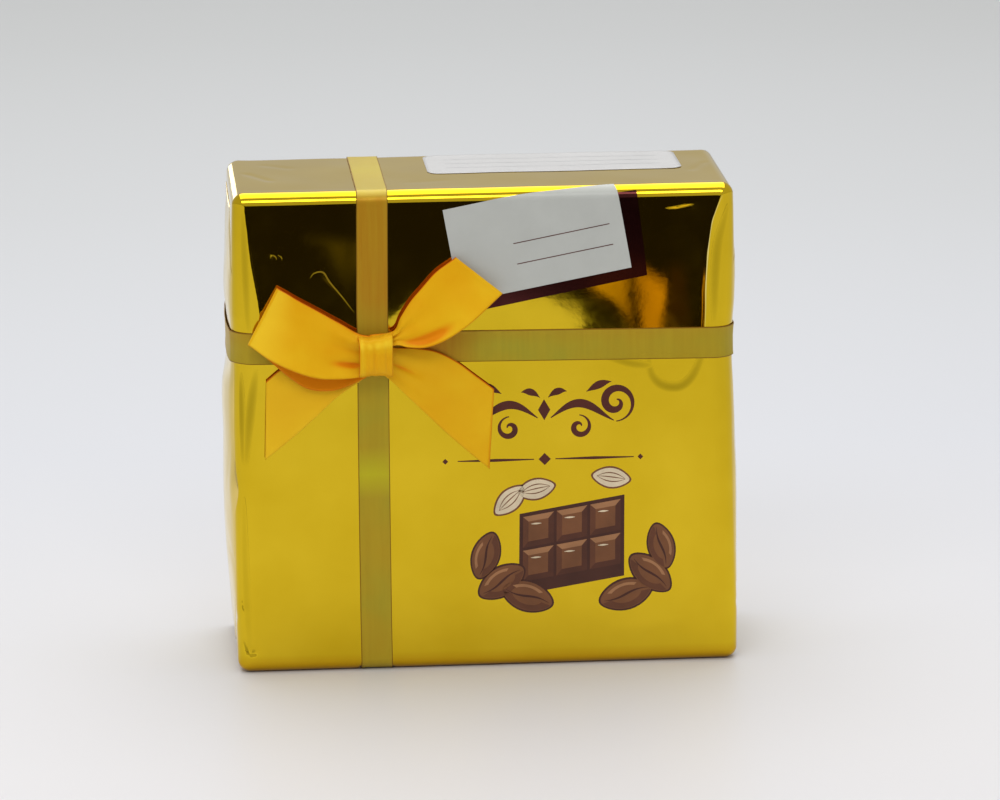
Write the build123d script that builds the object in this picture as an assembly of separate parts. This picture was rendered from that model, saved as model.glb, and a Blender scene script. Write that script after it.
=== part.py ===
from build123d import *
import math
import os

# A foil-covered gift box of chocolates that stands on one narrow side, front towards -Y.
# The origin is the middle of the face it stands on. All lengths are in millimetres.

# ---- none of these sizes follows another ----
# Closed box, over the foil and without ribbons or bow
BOX_WIDTH = 122.0
BOX_HEIGHT = 118.0
BOX_DEPTH = 45.0

# Lid of covered board
FOIL_THICKNESS = 0.3
LID_BOARD = 1.5
FOIL_SIDE_SLACK = 1.2
FOIL_CORNER_RADIUS = 6.0
FOIL_EDGE_RADIUS = 3.0
FOIL_TURN_IN = 10.0
BOARD_EDGE_EASE = 0.2
BOARD_CORNER_EASE = 0.7

# Base tray of plain board
BASE_BOARD = 1.5
BASE_CLEARANCE = 1.0
BASE_PROUD = 0.5
BASE_EDGE_RADIUS = 1.0
BASE_RIM_GAP = 0.5

# Cushion sheet behind the front panel of the lid
PAD_THICKNESS = 1.5
PAD_MARGIN = 2.5
PAD_CORNER_RADIUS = 3.0

# Flat ribbons over the lid
RIBBON_WIDTH = 7.6
RIBBON_THICKNESS = 0.25
RIBBON_FIT = 0.03
RIBBON_TAB = 9.0
RIBBON_X = -27.2
RIBBON_Z = 79.9
TRACK_CLEARANCE = 0.05
TRACK_SIDE_CLEARANCE = 0.2

# Paper label on the upper side
LABEL_WIDTH = 63.0
LABEL_DEPTH = 23.0
LABEL_THICKNESS = 0.15
LABEL_CORNER_RADIUS = 3.0
LABEL_X = 19.3
LABEL_REAR_MARGIN = 0.6

# Satin bow
BOW_RIBBON_WIDTH = 15.0
BOW_RIBBON_THICKNESS = 0.4
BOW_SHIFT_X = 0.6
BOW_SHIFT_Z = -0.3
BOW_HALF_GAP = 0.2
GLUE_THICKNESS = 0.4
GLUE_RADIUS = 2.6
KNOT_WIDTH = 8.0
KNOT_HEIGHT = 10.8
KNOT_DEPTH = 6.0
KNOT_RADIUS = 2.2

# Loops of the bow: length from the knot, and how far each circle of the drop stands from the foil
LEFT_LOOP_REACH = 29.4
LEFT_LOOP_ANGLE = 151.7
RIGHT_LOOP_REACH = 31.4
RIGHT_LOOP_ANGLE = 37.6
LOOP_ROOT_RADIUS = 0.8
LOOP_BELLY_RADIUS = 4.0
LOOP_BELLY_STANDOFF = 6.4
LOOP_FOLD_RADIUS = 1.8
LOOP_FOLD_STANDOFF = 6.0

# Tails of the bow
TAIL_LENGTH = 38.0
LEFT_TAIL_ANGLE = 214.0
RIGHT_TAIL_ANGLE = -32.0
TAIL_KNOT_GAP = 0.25
TAIL_ROOT_RISE = 1.2
TAIL_TIP_RISE = 1.4

# Chocolates, their cups and the tray that holds them
PRALINE_SIDE_GAP = 1.8
WRAPPER_GAP = 0.1
WRAPPER_THICKNESS = 0.3
WRAPPER_HOLE_RADIUS = 3.0
WRAPPER_FRONT_GAP = 0.8
CUP_PAPER = 0.25
CUP_TO_CUP_GAP = 0.7
CUP_SPREAD = 5.5
CUP_HEIGHT = 14.0
CUP_PLEAT = 0.5
CUP_SEAT_GAP = 0.05
POCKET_WALL = 0.6
POCKET_CLEARANCE = 0.3
POCKET_DEPTH = 11.5
TRAY_SIDE_CLEARANCE = 0.4
TRAY_EDGE_RADIUS = 1.5

# Length by which a cut runs past what it cuts
OVERRUN = 5.0

# Counts
PLEATS = 30
ROWS = 3
COLUMNS = 3

# Where the belly of a loop and the waist of a tail lie, as shares of their length
LOOP_BELLY_SHARE = 0.6
TAIL_WAIST_SHARE = 0.45

# Where a loop leaves the knot, as a share of the knot's depth
LOOP_ROOT_SHARE = 0.5

# Front outlines of the bow's four pieces, right and up from the knot, as shares of the ribbon's width
LEFT_LOOP_SHARES = [
    (0.0, 0.23),
    (-0.29, 0.27),
    (-0.91, 0.70),
    (-1.62, 1.13),
    (-2.15, 0.16),
    (-1.52, -0.22),
    (-1.05, -0.42),
    (-0.60, -0.45),
    (-0.29, -0.26),
    (0.0, -0.23),
]
RIGHT_LOOP_SHARES = [
    (0.0, 0.23),
    (0.29, 0.27),
    (0.42, 0.62),
    (0.68, 1.02),
    (1.25, 1.62),
    (2.06, 0.99),
    (1.50, 0.46),
    (1.18, 0.24),
    (0.75, 0.09),
    (0.29, 0.10),
    (0.0, -0.10),
]
LEFT_TAIL_SHARES = [
    (0.0, 0.24),
    (-0.60, 0.20),
    (-1.20, 0.05),
    (-1.77, -0.40),
    (-1.85, -1.27),
    (-1.75, -1.60),
    (-1.21, -1.15),
    (-0.73, -0.79),
    (-0.29, -0.24),
    (0.0, -0.20),
]
RIGHT_TAIL_SHARES = [
    (0.0, 0.20),
    (0.29, 0.12),
    (0.75, 0.08),
    (1.05, 0.02),
    (1.35, -0.16),
    (1.86, -0.55),
    (1.88, -0.83),
    (1.79, -1.66),
    (1.05, -1.15),
    (0.59, -0.70),
    (0.29, -0.24),
    (0.0, -0.20),
]

# ---- places and sizes that follow from those above ----
HALF_WIDTH = BOX_WIDTH / 2
FRONT_Y = -BOX_DEPTH / 2
BACK_Y = BOX_DEPTH / 2
RIM_Y = BACK_Y - BASE_PROUD

BOARD_HALF_WIDTH = HALF_WIDTH - FOIL_THICKNESS - FOIL_SIDE_SLACK
BOARD_FRONT_Y = FRONT_Y + FOIL_THICKNESS
BOARD_RIM_Y = RIM_Y - FOIL_THICKNESS
BOARD_CORNER_RADIUS = FOIL_CORNER_RADIUS - FOIL_THICKNESS - BOARD_CORNER_EASE
BOARD_EDGE_RADIUS = FOIL_EDGE_RADIUS - FOIL_THICKNESS + BOARD_EDGE_EASE

LID_INNER_HALF_WIDTH = BOARD_HALF_WIDTH - LID_BOARD
LID_INNER_FRONT_Y = BOARD_FRONT_Y + LID_BOARD
LID_INNER_LOW_Z = FOIL_THICKNESS + LID_BOARD
LID_INNER_HIGH_Z = BOX_HEIGHT - LID_INNER_LOW_Z
LID_INNER_EDGE_RADIUS = BOARD_EDGE_RADIUS - LID_BOARD

BASE_HALF_WIDTH = LID_INNER_HALF_WIDTH - BASE_CLEARANCE
BASE_LOW_Z = LID_INNER_LOW_Z + BASE_CLEARANCE
BASE_HIGH_Z = LID_INNER_HIGH_Z - BASE_CLEARANCE
BASE_FRONT_Y = LID_INNER_FRONT_Y + PAD_THICKNESS + BASE_RIM_GAP
BASE_FLOOR_Y = BACK_Y - BASE_BOARD

BOW_X = RIBBON_X + BOW_SHIFT_X
BOW_Z = RIBBON_Z + BOW_SHIFT_Z
RIBBON_FRONT_Y = FRONT_Y - 2 * (RIBBON_THICKNESS + RIBBON_FIT)
KNOT_BACK_Y = RIBBON_FRONT_Y - GLUE_THICKNESS
KNOT_BACK_STANDOFF = FRONT_Y - KNOT_BACK_Y
LOOP_ROOT_STANDOFF = KNOT_BACK_STANDOFF + LOOP_ROOT_SHARE * KNOT_DEPTH
TAIL_WAIST_STANDOFF = KNOT_BACK_STANDOFF + BOW_RIBBON_THICKNESS + TAIL_KNOT_GAP
TAIL_ROOT_STANDOFF = TAIL_WAIST_STANDOFF + TAIL_ROOT_RISE
TAIL_TIP_STANDOFF = TAIL_WAIST_STANDOFF + TAIL_TIP_RISE

# Each chocolate has a cell of the tray, and is as large as its cup or the depth of the box allows
TRAY_HALF_WIDTH = BASE_HALF_WIDTH - BASE_BOARD - TRAY_SIDE_CLEARANCE
TRAY_LOW_Z = BASE_LOW_Z + BASE_BOARD + TRAY_SIDE_CLEARANCE
TRAY_HIGH_Z = BASE_HIGH_Z - BASE_BOARD - TRAY_SIDE_CLEARANCE
CELL_WIDTH = 2 * TRAY_HALF_WIDTH / COLUMNS
CELL_HEIGHT = (TRAY_HIGH_Z - TRAY_LOW_Z) / ROWS
CUP_MOUTH_RADIUS = (min(CELL_WIDTH, CELL_HEIGHT) - CUP_TO_CUP_GAP) / 2 - CUP_PLEAT - CUP_PAPER
CUP_FLOOR_RADIUS = CUP_MOUTH_RADIUS - CUP_SPREAD
BALL_ROOM = BASE_FLOOR_Y - LID_INNER_FRONT_Y - PAD_THICKNESS - WRAPPER_FRONT_GAP
BALL_STACK = CUP_PAPER + 2 * CUP_SEAT_GAP + POCKET_WALL
WRAPPER_RADIUS = min(CUP_MOUTH_RADIUS - PRALINE_SIDE_GAP, (BALL_ROOM - BALL_STACK) / 2)
PRALINE_RADIUS = WRAPPER_RADIUS - WRAPPER_THICKNESS - WRAPPER_GAP
BALL_Y = LID_INNER_FRONT_Y + PAD_THICKNESS + WRAPPER_FRONT_GAP + WRAPPER_RADIUS
CUP_FLOOR_Y = BALL_Y + WRAPPER_RADIUS + CUP_SEAT_GAP
CUP_BACK_Y = CUP_FLOOR_Y + CUP_PAPER
CUP_SLOPE = CUP_SPREAD / CUP_HEIGHT
POCKET_FLOOR_Y = CUP_BACK_Y + CUP_SEAT_GAP
POCKET_FLOOR_RADIUS = CUP_FLOOR_RADIUS + CUP_PLEAT + CUP_PAPER + POCKET_CLEARANCE
POCKET_MOUTH_RADIUS = POCKET_FLOOR_RADIUS + CUP_SLOPE * POCKET_DEPTH
FLANGE_Y = POCKET_FLOOR_Y - POCKET_DEPTH
CENTRE_Z = BOX_HEIGHT / 2
TRACK_DEPTH = RIBBON_THICKNESS + RIBBON_FIT + TRACK_CLEARANCE


def block(low, high):
    """A plain box between two corners."""
    size = [h - l for l, h in zip(low, high)]
    middle = [(h + l) / 2 for l, h in zip(low, high)]
    return Pos(*middle) * Box(*size)


def lid_form(half_width, front_y, rear_y, low_z, high_z, corner_radius, edge_radius):
    """A block with rounded upright front edges, and rounded upper and lower edges on all but the rear."""
    form = block((-half_width, front_y, low_z), (half_width, rear_y, high_z))
    form = fillet(form.edges().filter_by(Axis.Z).sort_by(Axis.Y)[:2], corner_radius)
    ends = form.faces().sort_by(Axis.Z)
    rims = ends[0].edges().sort_by(Axis.Y)[:-1] + ends[-1].edges().sort_by(Axis.Y)[:-1]
    return fillet(rims, edge_radius)


def sleeve_form(half_width, low_z, high_z, front_y, rear_y, radius):
    """A block with its four edges along Y rounded."""
    form = block((-half_width, front_y, low_z), (half_width, rear_y, high_z))
    return fillet(form.edges().filter_by(Axis.Y), radius)


def foil_form(inset, low_z, rear_y=RIM_Y):
    """The lid's outside, drawn in by inset on every side but the lower one, which is at low_z."""
    return lid_form(
        HALF_WIDTH - inset,
        FRONT_Y + inset,
        rear_y,
        low_z,
        BOX_HEIGHT - inset,
        FOIL_CORNER_RADIUS - inset,
        FOIL_EDGE_RADIUS - inset,
    )


def track_groove(wall):
    """What the upright ribbon's pressed track takes from the lid's lower side, with a wall round it."""
    half = RIBBON_WIDTH / 2 + TRACK_SIDE_CLEARANCE + wall
    strip = block((RIBBON_X - half, FRONT_Y, -OVERRUN), (RIBBON_X + half, RIM_Y, CENTRE_Z))
    return (foil_form(0, 0) - foil_form(wall, TRACK_DEPTH + wall)) & strip


def make_ribbon_vertical():
    """Front, upper and lower runs, with both ends turned in over the rim of the lid."""
    half = RIBBON_WIDTH / 2
    low_x = RIBBON_X - half
    high_x = RIBBON_X + half
    inner_y = RIBBON_FRONT_Y + RIBBON_THICKNESS
    inner_low_z = TRACK_CLEARANCE + RIBBON_THICKNESS
    inner_high_z = BOX_HEIGHT + RIBBON_FIT
    outer_high_z = inner_high_z + RIBBON_THICKNESS
    rim_inner_y = RIM_Y + RIBBON_FIT
    rim_outer_y = rim_inner_y + RIBBON_THICKNESS
    outer = block((low_x, RIBBON_FRONT_Y, TRACK_CLEARANCE), (high_x, rim_inner_y, outer_high_z))
    outer = fillet(outer.edges().filter_by(Axis.X).sort_by(Axis.Y)[:2], FOIL_EDGE_RADIUS + RIBBON_THICKNESS)
    inner = block((low_x - OVERRUN, inner_y, inner_low_z), (high_x + OVERRUN, RIM_Y + OVERRUN, inner_high_z))
    inner = fillet(inner.edges().filter_by(Axis.X).sort_by(Axis.Y)[:2], FOIL_EDGE_RADIUS)
    band = outer - inner
    wall = LID_INNER_LOW_Z + FOIL_THICKNESS + RIBBON_FIT
    tab_y = RIM_Y - RIBBON_TAB
    low_tab_z = wall + RIBBON_THICKNESS
    high_tab_z = BOX_HEIGHT - low_tab_z
    band += block((low_x, rim_inner_y, TRACK_CLEARANCE), (high_x, rim_outer_y, low_tab_z))
    band += block((low_x, tab_y, wall), (high_x, rim_inner_y, low_tab_z))
    band += block((low_x, rim_inner_y, high_tab_z), (high_x, rim_outer_y, outer_high_z))
    band += block((low_x, tab_y, high_tab_z), (high_x, rim_inner_y, BOX_HEIGHT - wall))
    return band


def make_ribbon_horizontal():
    """Front and side runs under the upright ribbon, with both ends turned in over the rim of the lid."""
    half = RIBBON_WIDTH / 2
    low_z = RIBBON_Z - half
    high_z = RIBBON_Z + half
    inner_x = HALF_WIDTH + RIBBON_FIT
    outer_x = inner_x + RIBBON_THICKNESS
    inner_y = FRONT_Y - RIBBON_FIT
    outer_y = inner_y - RIBBON_THICKNESS
    rim_inner_y = RIM_Y + RIBBON_FIT
    rim_outer_y = rim_inner_y + RIBBON_THICKNESS
    outer = block((-outer_x, outer_y, low_z), (outer_x, rim_inner_y, high_z))
    outer = fillet(outer.edges().filter_by(Axis.Z).sort_by(Axis.Y)[:2], FOIL_CORNER_RADIUS + RIBBON_THICKNESS)
    inner = block((-inner_x, inner_y, low_z - OVERRUN), (inner_x, RIM_Y + OVERRUN, high_z + OVERRUN))
    inner = fillet(inner.edges().filter_by(Axis.Z).sort_by(Axis.Y)[:2], FOIL_CORNER_RADIUS)
    band = outer - inner
    wall_x = LID_INNER_HALF_WIDTH - FOIL_THICKNESS - RIBBON_FIT
    tab_x = wall_x - RIBBON_THICKNESS
    tab_y = RIM_Y - RIBBON_TAB
    for side in (-1, 1):
        hook_x = sorted((side * tab_x, side * outer_x))
        tab_span = sorted((side * tab_x, side * wall_x))
        band += block((hook_x[0], rim_inner_y, low_z), (hook_x[1], rim_outer_y, high_z))
        band += block((tab_span[0], tab_y, low_z), (tab_span[1], rim_inner_y, high_z))
    return band


def make_foil_wrap():
    """Gold foil paper over the lid board, turned in over its rim, with the ribbon's track underneath."""
    outer = foil_form(0, 0) - track_groove(0)
    inner = foil_form(FOIL_THICKNESS, FOIL_THICKNESS, RIM_Y + OVERRUN) - track_groove(FOIL_THICKNESS)
    fold_half = LID_INNER_HALF_WIDTH
    fold_low_z = LID_INNER_LOW_Z
    fold_high_z = LID_INNER_HIGH_Z
    fold_radius = LID_INNER_EDGE_RADIUS
    mouth = sleeve_form(
        fold_half - FOIL_THICKNESS,
        fold_low_z + FOIL_THICKNESS,
        fold_high_z - FOIL_THICKNESS,
        BOARD_RIM_Y - FOIL_TURN_IN - OVERRUN,
        RIM_Y + OVERRUN,
        fold_radius,
    )
    rim = sleeve_form(HALF_WIDTH, 0, BOX_HEIGHT, BOARD_RIM_Y, RIM_Y, FOIL_EDGE_RADIUS) - mouth
    fold = sleeve_form(
        fold_half,
        fold_low_z,
        fold_high_z,
        BOARD_RIM_Y - FOIL_TURN_IN,
        BOARD_RIM_Y,
        fold_radius + BOARD_EDGE_EASE,
    )
    return (outer - inner) + (rim - track_groove(0)) + (fold - mouth)


def make_lid_shell():
    """Board of the lid: front panel and four full-depth sides."""
    outer = lid_form(
        BOARD_HALF_WIDTH,
        BOARD_FRONT_Y,
        BOARD_RIM_Y,
        FOIL_THICKNESS,
        BOX_HEIGHT - FOIL_THICKNESS,
        BOARD_CORNER_RADIUS,
        BOARD_EDGE_RADIUS,
    )
    inner = lid_form(
        LID_INNER_HALF_WIDTH,
        LID_INNER_FRONT_Y,
        BOARD_RIM_Y + OVERRUN,
        LID_INNER_LOW_Z,
        LID_INNER_HIGH_Z,
        BOARD_CORNER_RADIUS - LID_BOARD,
        LID_INNER_EDGE_RADIUS,
    )
    return outer - inner - track_groove(FOIL_THICKNESS)


def make_cushion_pad():
    """Thin cushion sheet that stays behind the front panel of the lid."""
    half = BASE_HALF_WIDTH - BASE_BOARD - PAD_MARGIN
    inset = BASE_BOARD + PAD_MARGIN
    return sleeve_form(
        half,
        BASE_LOW_Z + inset,
        BASE_HIGH_Z - inset,
        LID_INNER_FRONT_Y,
        LID_INNER_FRONT_Y + PAD_THICKNESS,
        PAD_CORNER_RADIUS,
    )


def make_price_label():
    """Blank paper label on the upper side, close to the rim."""
    rear_y = RIM_Y - LABEL_REAR_MARGIN
    half = LABEL_WIDTH / 2
    label = block(
        (LABEL_X - half, rear_y - LABEL_DEPTH, BOX_HEIGHT),
        (LABEL_X + half, rear_y, BOX_HEIGHT + LABEL_THICKNESS),
    )
    return fillet(label.edges().filter_by(Axis.Z), LABEL_CORNER_RADIUS)


def make_base_tray():
    """Board base that the lid slides over, open towards the front."""
    outer = sleeve_form(BASE_HALF_WIDTH, BASE_LOW_Z, BASE_HIGH_Z, BASE_FRONT_Y, BACK_Y, BASE_EDGE_RADIUS)
    room = block(
        (-BASE_HALF_WIDTH + BASE_BOARD, BASE_FRONT_Y - OVERRUN, BASE_LOW_Z + BASE_BOARD),
        (BASE_HALF_WIDTH - BASE_BOARD, BASE_FLOOR_Y, BASE_HIGH_Z - BASE_BOARD),
    )
    return outer - room


def pocket_places():
    """Centres of the pockets, right and up, row by row from the upper left."""
    places = []
    for row in range(ROWS):
        for column in range(COLUMNS):
            x = (column - (COLUMNS - 1) / 2) * CELL_WIDTH
            z = CENTRE_Z + ((ROWS - 1) / 2 - row) * CELL_HEIGHT
            places.append((x, z))
    return places


def facing_front(x, y, z):
    """A place at (x, y, z) whose own Z axis points out of the front of the box."""
    return Location(Plane(origin=(x, y, z), x_dir=(1, 0, 0), z_dir=(0, -1, 0)))


def pocket_cone(floor_radius, mouth_radius, depth):
    """A cone that stands on its small end."""
    return Pos(0, 0, depth / 2) * Cone(floor_radius, mouth_radius, depth)


def make_pocket_tray():
    """Thin formed tray: a skirt that stands on the base's floor, a flange, and a pocket for each praline."""
    half = TRAY_HALF_WIDTH
    body = sleeve_form(half, TRAY_LOW_Z, TRAY_HIGH_Z, FLANGE_Y, BASE_FLOOR_Y, TRAY_EDGE_RADIUS)
    hollow = block(
        (-half + POCKET_WALL, FLANGE_Y + POCKET_WALL, TRAY_LOW_Z + POCKET_WALL),
        (half - POCKET_WALL, BASE_FLOOR_Y + OVERRUN, TRAY_HIGH_Z - POCKET_WALL),
    )
    tray = body - hollow
    cup_depth = POCKET_DEPTH + POCKET_WALL
    outside = pocket_cone(POCKET_FLOOR_RADIUS + POCKET_WALL, POCKET_MOUTH_RADIUS + POCKET_WALL, cup_depth)
    over = POCKET_WALL
    inside = pocket_cone(POCKET_FLOOR_RADIUS, POCKET_MOUTH_RADIUS + CUP_SLOPE * over, POCKET_DEPTH + over)
    for x, z in pocket_places():
        tray += facing_front(x, POCKET_FLOOR_Y + POCKET_WALL, z) * outside
    for x, z in pocket_places():
        tray -= facing_front(x, POCKET_FLOOR_Y, z) * inside
    return tray


def pleated_face(radius, height):
    """A star of pleats at a height, whose radius goes up and down by the pleat."""
    points = []
    for step in range(2 * PLEATS):
        angle = math.pi * step / PLEATS
        reach = radius + (CUP_PLEAT if step % 2 else -CUP_PLEAT)
        points.append((reach * math.cos(angle), reach * math.sin(angle)))
    return Pos(0, 0, height) * make_face(Polyline(*points, close=True))


def make_paper_cup():
    """Pleated paper cup, standing on its floor with its mouth towards its own +Z."""
    outer_foot = pleated_face(CUP_FLOOR_RADIUS + CUP_PAPER, 0)
    outer_mouth = pleated_face(CUP_MOUTH_RADIUS + CUP_PAPER, CUP_HEIGHT)
    outside = loft([outer_foot, outer_mouth], ruled=True)
    floor_radius = CUP_FLOOR_RADIUS + CUP_SLOPE * CUP_PAPER
    above_radius = CUP_MOUTH_RADIUS + CUP_SLOPE * CUP_PAPER
    inner_foot = pleated_face(floor_radius, CUP_PAPER)
    inner_mouth = pleated_face(above_radius, CUP_HEIGHT + CUP_PAPER)
    return outside - loft([inner_foot, inner_mouth], ruled=True)


def make_wrapper():
    """Foil wrapper around one praline, open at the gathered foot, with its centre at its own origin."""
    shell = Sphere(WRAPPER_RADIUS) - Sphere(PRALINE_RADIUS + WRAPPER_GAP)
    foot = Pos(0, 0, -WRAPPER_RADIUS / 2) * Cylinder(WRAPPER_HOLE_RADIUS, WRAPPER_RADIUS + OVERRUN)
    return shell - foot


def bow_frame(angle):
    """Plane of a bow piece: X along the ribbon, Y out of the box, Z across the ribbon."""
    turn = math.radians(angle)
    along = (math.cos(turn), 0, math.sin(turn))
    across = (math.sin(turn), 0, -math.cos(turn))
    return Plane(origin=(BOW_X, FRONT_Y, BOW_Z), x_dir=along, z_dir=across)


def outline_prism(shares):
    """The front outline of a bow piece, as a prism that runs right through the bow."""
    points = []
    for right, up in shares:
        points.append((right * BOW_RIBBON_WIDTH, up * BOW_RIBBON_WIDTH))
    face = make_face(Polyline(*points, close=True))
    side = 1 if sum(right for right, up in shares) > 0 else -1
    prism = extrude(face, BOX_DEPTH)
    middle = block(
        (-BOW_HALF_GAP, -BOX_HEIGHT, -OVERRUN),
        (BOW_HALF_GAP, BOX_HEIGHT, BOX_DEPTH + OVERRUN),
    )
    prism = facing_front(BOW_X, FRONT_Y, BOW_Z) * (prism - middle)
    return prism.solids().sort_by(Axis.X)[-1 if side > 0 else 0]


def drop_face(reach, inset):
    """The convex drop round three circles: root at the knot, belly, and outer fold, drawn in by inset."""
    circles = [
        (0, LOOP_ROOT_STANDOFF, LOOP_ROOT_RADIUS),
        (LOOP_BELLY_SHARE * reach, LOOP_BELLY_STANDOFF, LOOP_BELLY_RADIUS),
        (reach - LOOP_FOLD_RADIUS, LOOP_FOLD_STANDOFF, LOOP_FOLD_RADIUS),
    ]
    edges = []
    for along, out, radius in circles:
        edges += (Pos(along, out) * Circle(radius - inset)).edges()
    return make_hull(edges)


def make_loop(angle, reach, shares):
    """One loop of the bow: a band bent into a drop, cut to its front outline."""
    frame = bow_frame(angle)
    span = 2 * BOW_RIBBON_WIDTH
    band = extrude(drop_face(reach, 0), span, both=True)
    hollow = extrude(drop_face(reach, BOW_RIBBON_THICKNESS), span + OVERRUN, both=True)
    return (frame * (band - hollow)) & outline_prism(shares)


def make_tail(angle, shares):
    """One tail of the bow: a strip in a shallow curve, cut to its front outline."""
    frame = bow_frame(angle)
    waist = TAIL_WAIST_SHARE * TAIL_LENGTH
    lift = BOW_RIBBON_THICKNESS
    root = -BOW_RIBBON_WIDTH
    near = ThreePointArc(
        (root, TAIL_ROOT_STANDOFF), (waist, TAIL_WAIST_STANDOFF), (TAIL_LENGTH, TAIL_TIP_STANDOFF)
    )
    far = ThreePointArc(
        (root, TAIL_ROOT_STANDOFF + lift),
        (waist, TAIL_WAIST_STANDOFF + lift),
        (TAIL_LENGTH, TAIL_TIP_STANDOFF + lift),
    )
    ends = [Line(near @ 0, far @ 0), Line(near @ 1, far @ 1)]
    strip = extrude(make_face([near, far] + ends), 2 * BOW_RIBBON_WIDTH, both=True)
    return (frame * strip) & outline_prism(shares)


def make_bow_knot():
    """Short band of satin round the middle of the bow."""
    half_x = KNOT_WIDTH / 2
    half_z = KNOT_HEIGHT / 2
    front_y = KNOT_BACK_Y - KNOT_DEPTH
    skin = BOW_RIBBON_THICKNESS
    outer = block(
        (BOW_X - half_x, front_y, BOW_Z - half_z),
        (BOW_X + half_x, KNOT_BACK_Y, BOW_Z + half_z),
    )
    outer = fillet(outer.edges().filter_by(Axis.X), KNOT_RADIUS)
    inner = block(
        (BOW_X - half_x - OVERRUN, front_y + skin, BOW_Z - half_z + skin),
        (BOW_X + half_x + OVERRUN, KNOT_BACK_Y - skin, BOW_Z + half_z - skin),
    )
    inner = fillet(inner.edges().filter_by(Axis.X), KNOT_RADIUS - skin)
    return outer - inner


def make_glue_dot():
    """Glue that holds the bow on the ribbons."""
    dot = Pos(0, 0, GLUE_THICKNESS / 2) * Cylinder(GLUE_RADIUS, GLUE_THICKNESS)
    return facing_front(BOW_X, RIBBON_FRONT_Y, BOW_Z) * dot


def make_parts():
    """Every node's name and solid, in place."""
    parts = {
        "lid_shell": make_lid_shell(),
        "foil_wrap": make_foil_wrap(),
        "cushion_pad": make_cushion_pad(),
        "ribbon_vertical": make_ribbon_vertical(),
        "ribbon_horizontal": make_ribbon_horizontal(),
        "price_label": make_price_label(),
        "bow_left_loop": make_loop(LEFT_LOOP_ANGLE, LEFT_LOOP_REACH, LEFT_LOOP_SHARES),
        "bow_right_loop": make_loop(RIGHT_LOOP_ANGLE, RIGHT_LOOP_REACH, RIGHT_LOOP_SHARES),
        "bow_left_tail": make_tail(LEFT_TAIL_ANGLE, LEFT_TAIL_SHARES),
        "bow_right_tail": make_tail(RIGHT_TAIL_ANGLE, RIGHT_TAIL_SHARES),
        "bow_knot": make_bow_knot(),
        "bow_glue_dot": make_glue_dot(),
        "base_tray": make_base_tray(),
        "pocket_tray": make_pocket_tray(),
    }
    cup = make_paper_cup()
    wrapper = make_wrapper()
    praline = Sphere(PRALINE_RADIUS)
    for number, (x, z) in enumerate(pocket_places(), start=1):
        parts[f"paper_cup_{number}"] = facing_front(x, CUP_BACK_Y, z) * cup
        parts[f"foil_wrapper_{number}"] = facing_front(x, BALL_Y, z) * wrapper
        parts[f"praline_{number}"] = facing_front(x, BALL_Y, z) * praline
    return parts


def main():
    os.makedirs("parts", exist_ok=True)
    for name, shape in make_parts().items():
        export_step(shape, f"parts/{name}.step")


main()
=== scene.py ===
import math

import bmesh
import bpy
import numpy as np
from mathutils import Matrix, Vector, noise


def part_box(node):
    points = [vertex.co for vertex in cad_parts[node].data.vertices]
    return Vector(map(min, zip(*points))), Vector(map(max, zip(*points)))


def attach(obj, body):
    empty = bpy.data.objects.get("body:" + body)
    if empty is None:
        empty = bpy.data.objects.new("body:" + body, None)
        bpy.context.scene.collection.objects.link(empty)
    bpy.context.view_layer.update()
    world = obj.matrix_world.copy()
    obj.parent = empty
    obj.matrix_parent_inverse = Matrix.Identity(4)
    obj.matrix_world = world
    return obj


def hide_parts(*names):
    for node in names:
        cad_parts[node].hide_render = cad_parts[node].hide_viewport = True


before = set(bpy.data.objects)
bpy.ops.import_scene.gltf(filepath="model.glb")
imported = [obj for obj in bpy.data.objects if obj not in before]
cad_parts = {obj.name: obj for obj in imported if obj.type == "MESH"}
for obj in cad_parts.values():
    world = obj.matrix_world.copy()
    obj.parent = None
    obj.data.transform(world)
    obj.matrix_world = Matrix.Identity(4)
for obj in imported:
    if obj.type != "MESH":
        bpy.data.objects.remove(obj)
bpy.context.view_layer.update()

MM = 0.001
ROUND = 2 * math.pi
SMALL = 1e-9


def middle_and_half(name):
    """The middle of a CAD node's box, and half of its size."""
    low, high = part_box(name)
    return [(a + b) / 2 for a, b in zip(low, high)], [(b - a) / 2 for a, b in zip(low, high)]


# Places taken from the CAD frame, in metres
FOIL_LOW, FOIL_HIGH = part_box("foil_wrap")
HALF_WIDTH, RIM_Y, TOP_Z = FOIL_HIGH
FRONT_Y = FOIL_LOW.y
MIDDLE_Z = TOP_Z / 2
(UPRIGHT_X, _, _), (RIBBON_HALF, _, _) = middle_and_half("ribbon_vertical")
CROSS_Z = middle_and_half("ribbon_horizontal")[0][2]
KNOT_MIDDLE, KNOT_HALF = middle_and_half("bow_knot")
BASE_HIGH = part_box("base_tray")[1]


def smooth(low, high, value):
    """0 below low, 1 above high, and an even blend between them."""
    t = np.clip((value - low) / (high - low), 0.0, 1.0)
    return t * t * (3 - 2 * t)


def fade(value, low, high):
    """The same blend of a length in metres, between two lengths in millimetres."""
    return smooth(low * MM, high * MM, value)


def hump(centre, width, value):
    """A bell of height 1 round a centre."""
    return np.exp(-(((value - centre) / width) ** 2))


# Shapes

def spots(x, y, z):
    """Points from three coordinates, each of which is a row of values or a single one."""
    return np.stack(np.broadcast_arrays(x, y, z), -1).astype(float)


def unit(arrows):
    """The same directions with a length of 1."""
    return arrows / (np.linalg.norm(arrows, axis=1, keepdims=True) + SMALL)


def sideways(line):
    """The direction square to a flat line, at each of its places."""
    way = unit(np.gradient(line, axis=0))
    return np.stack([-way[:, 1], way[:, 0]], 1)


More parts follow.
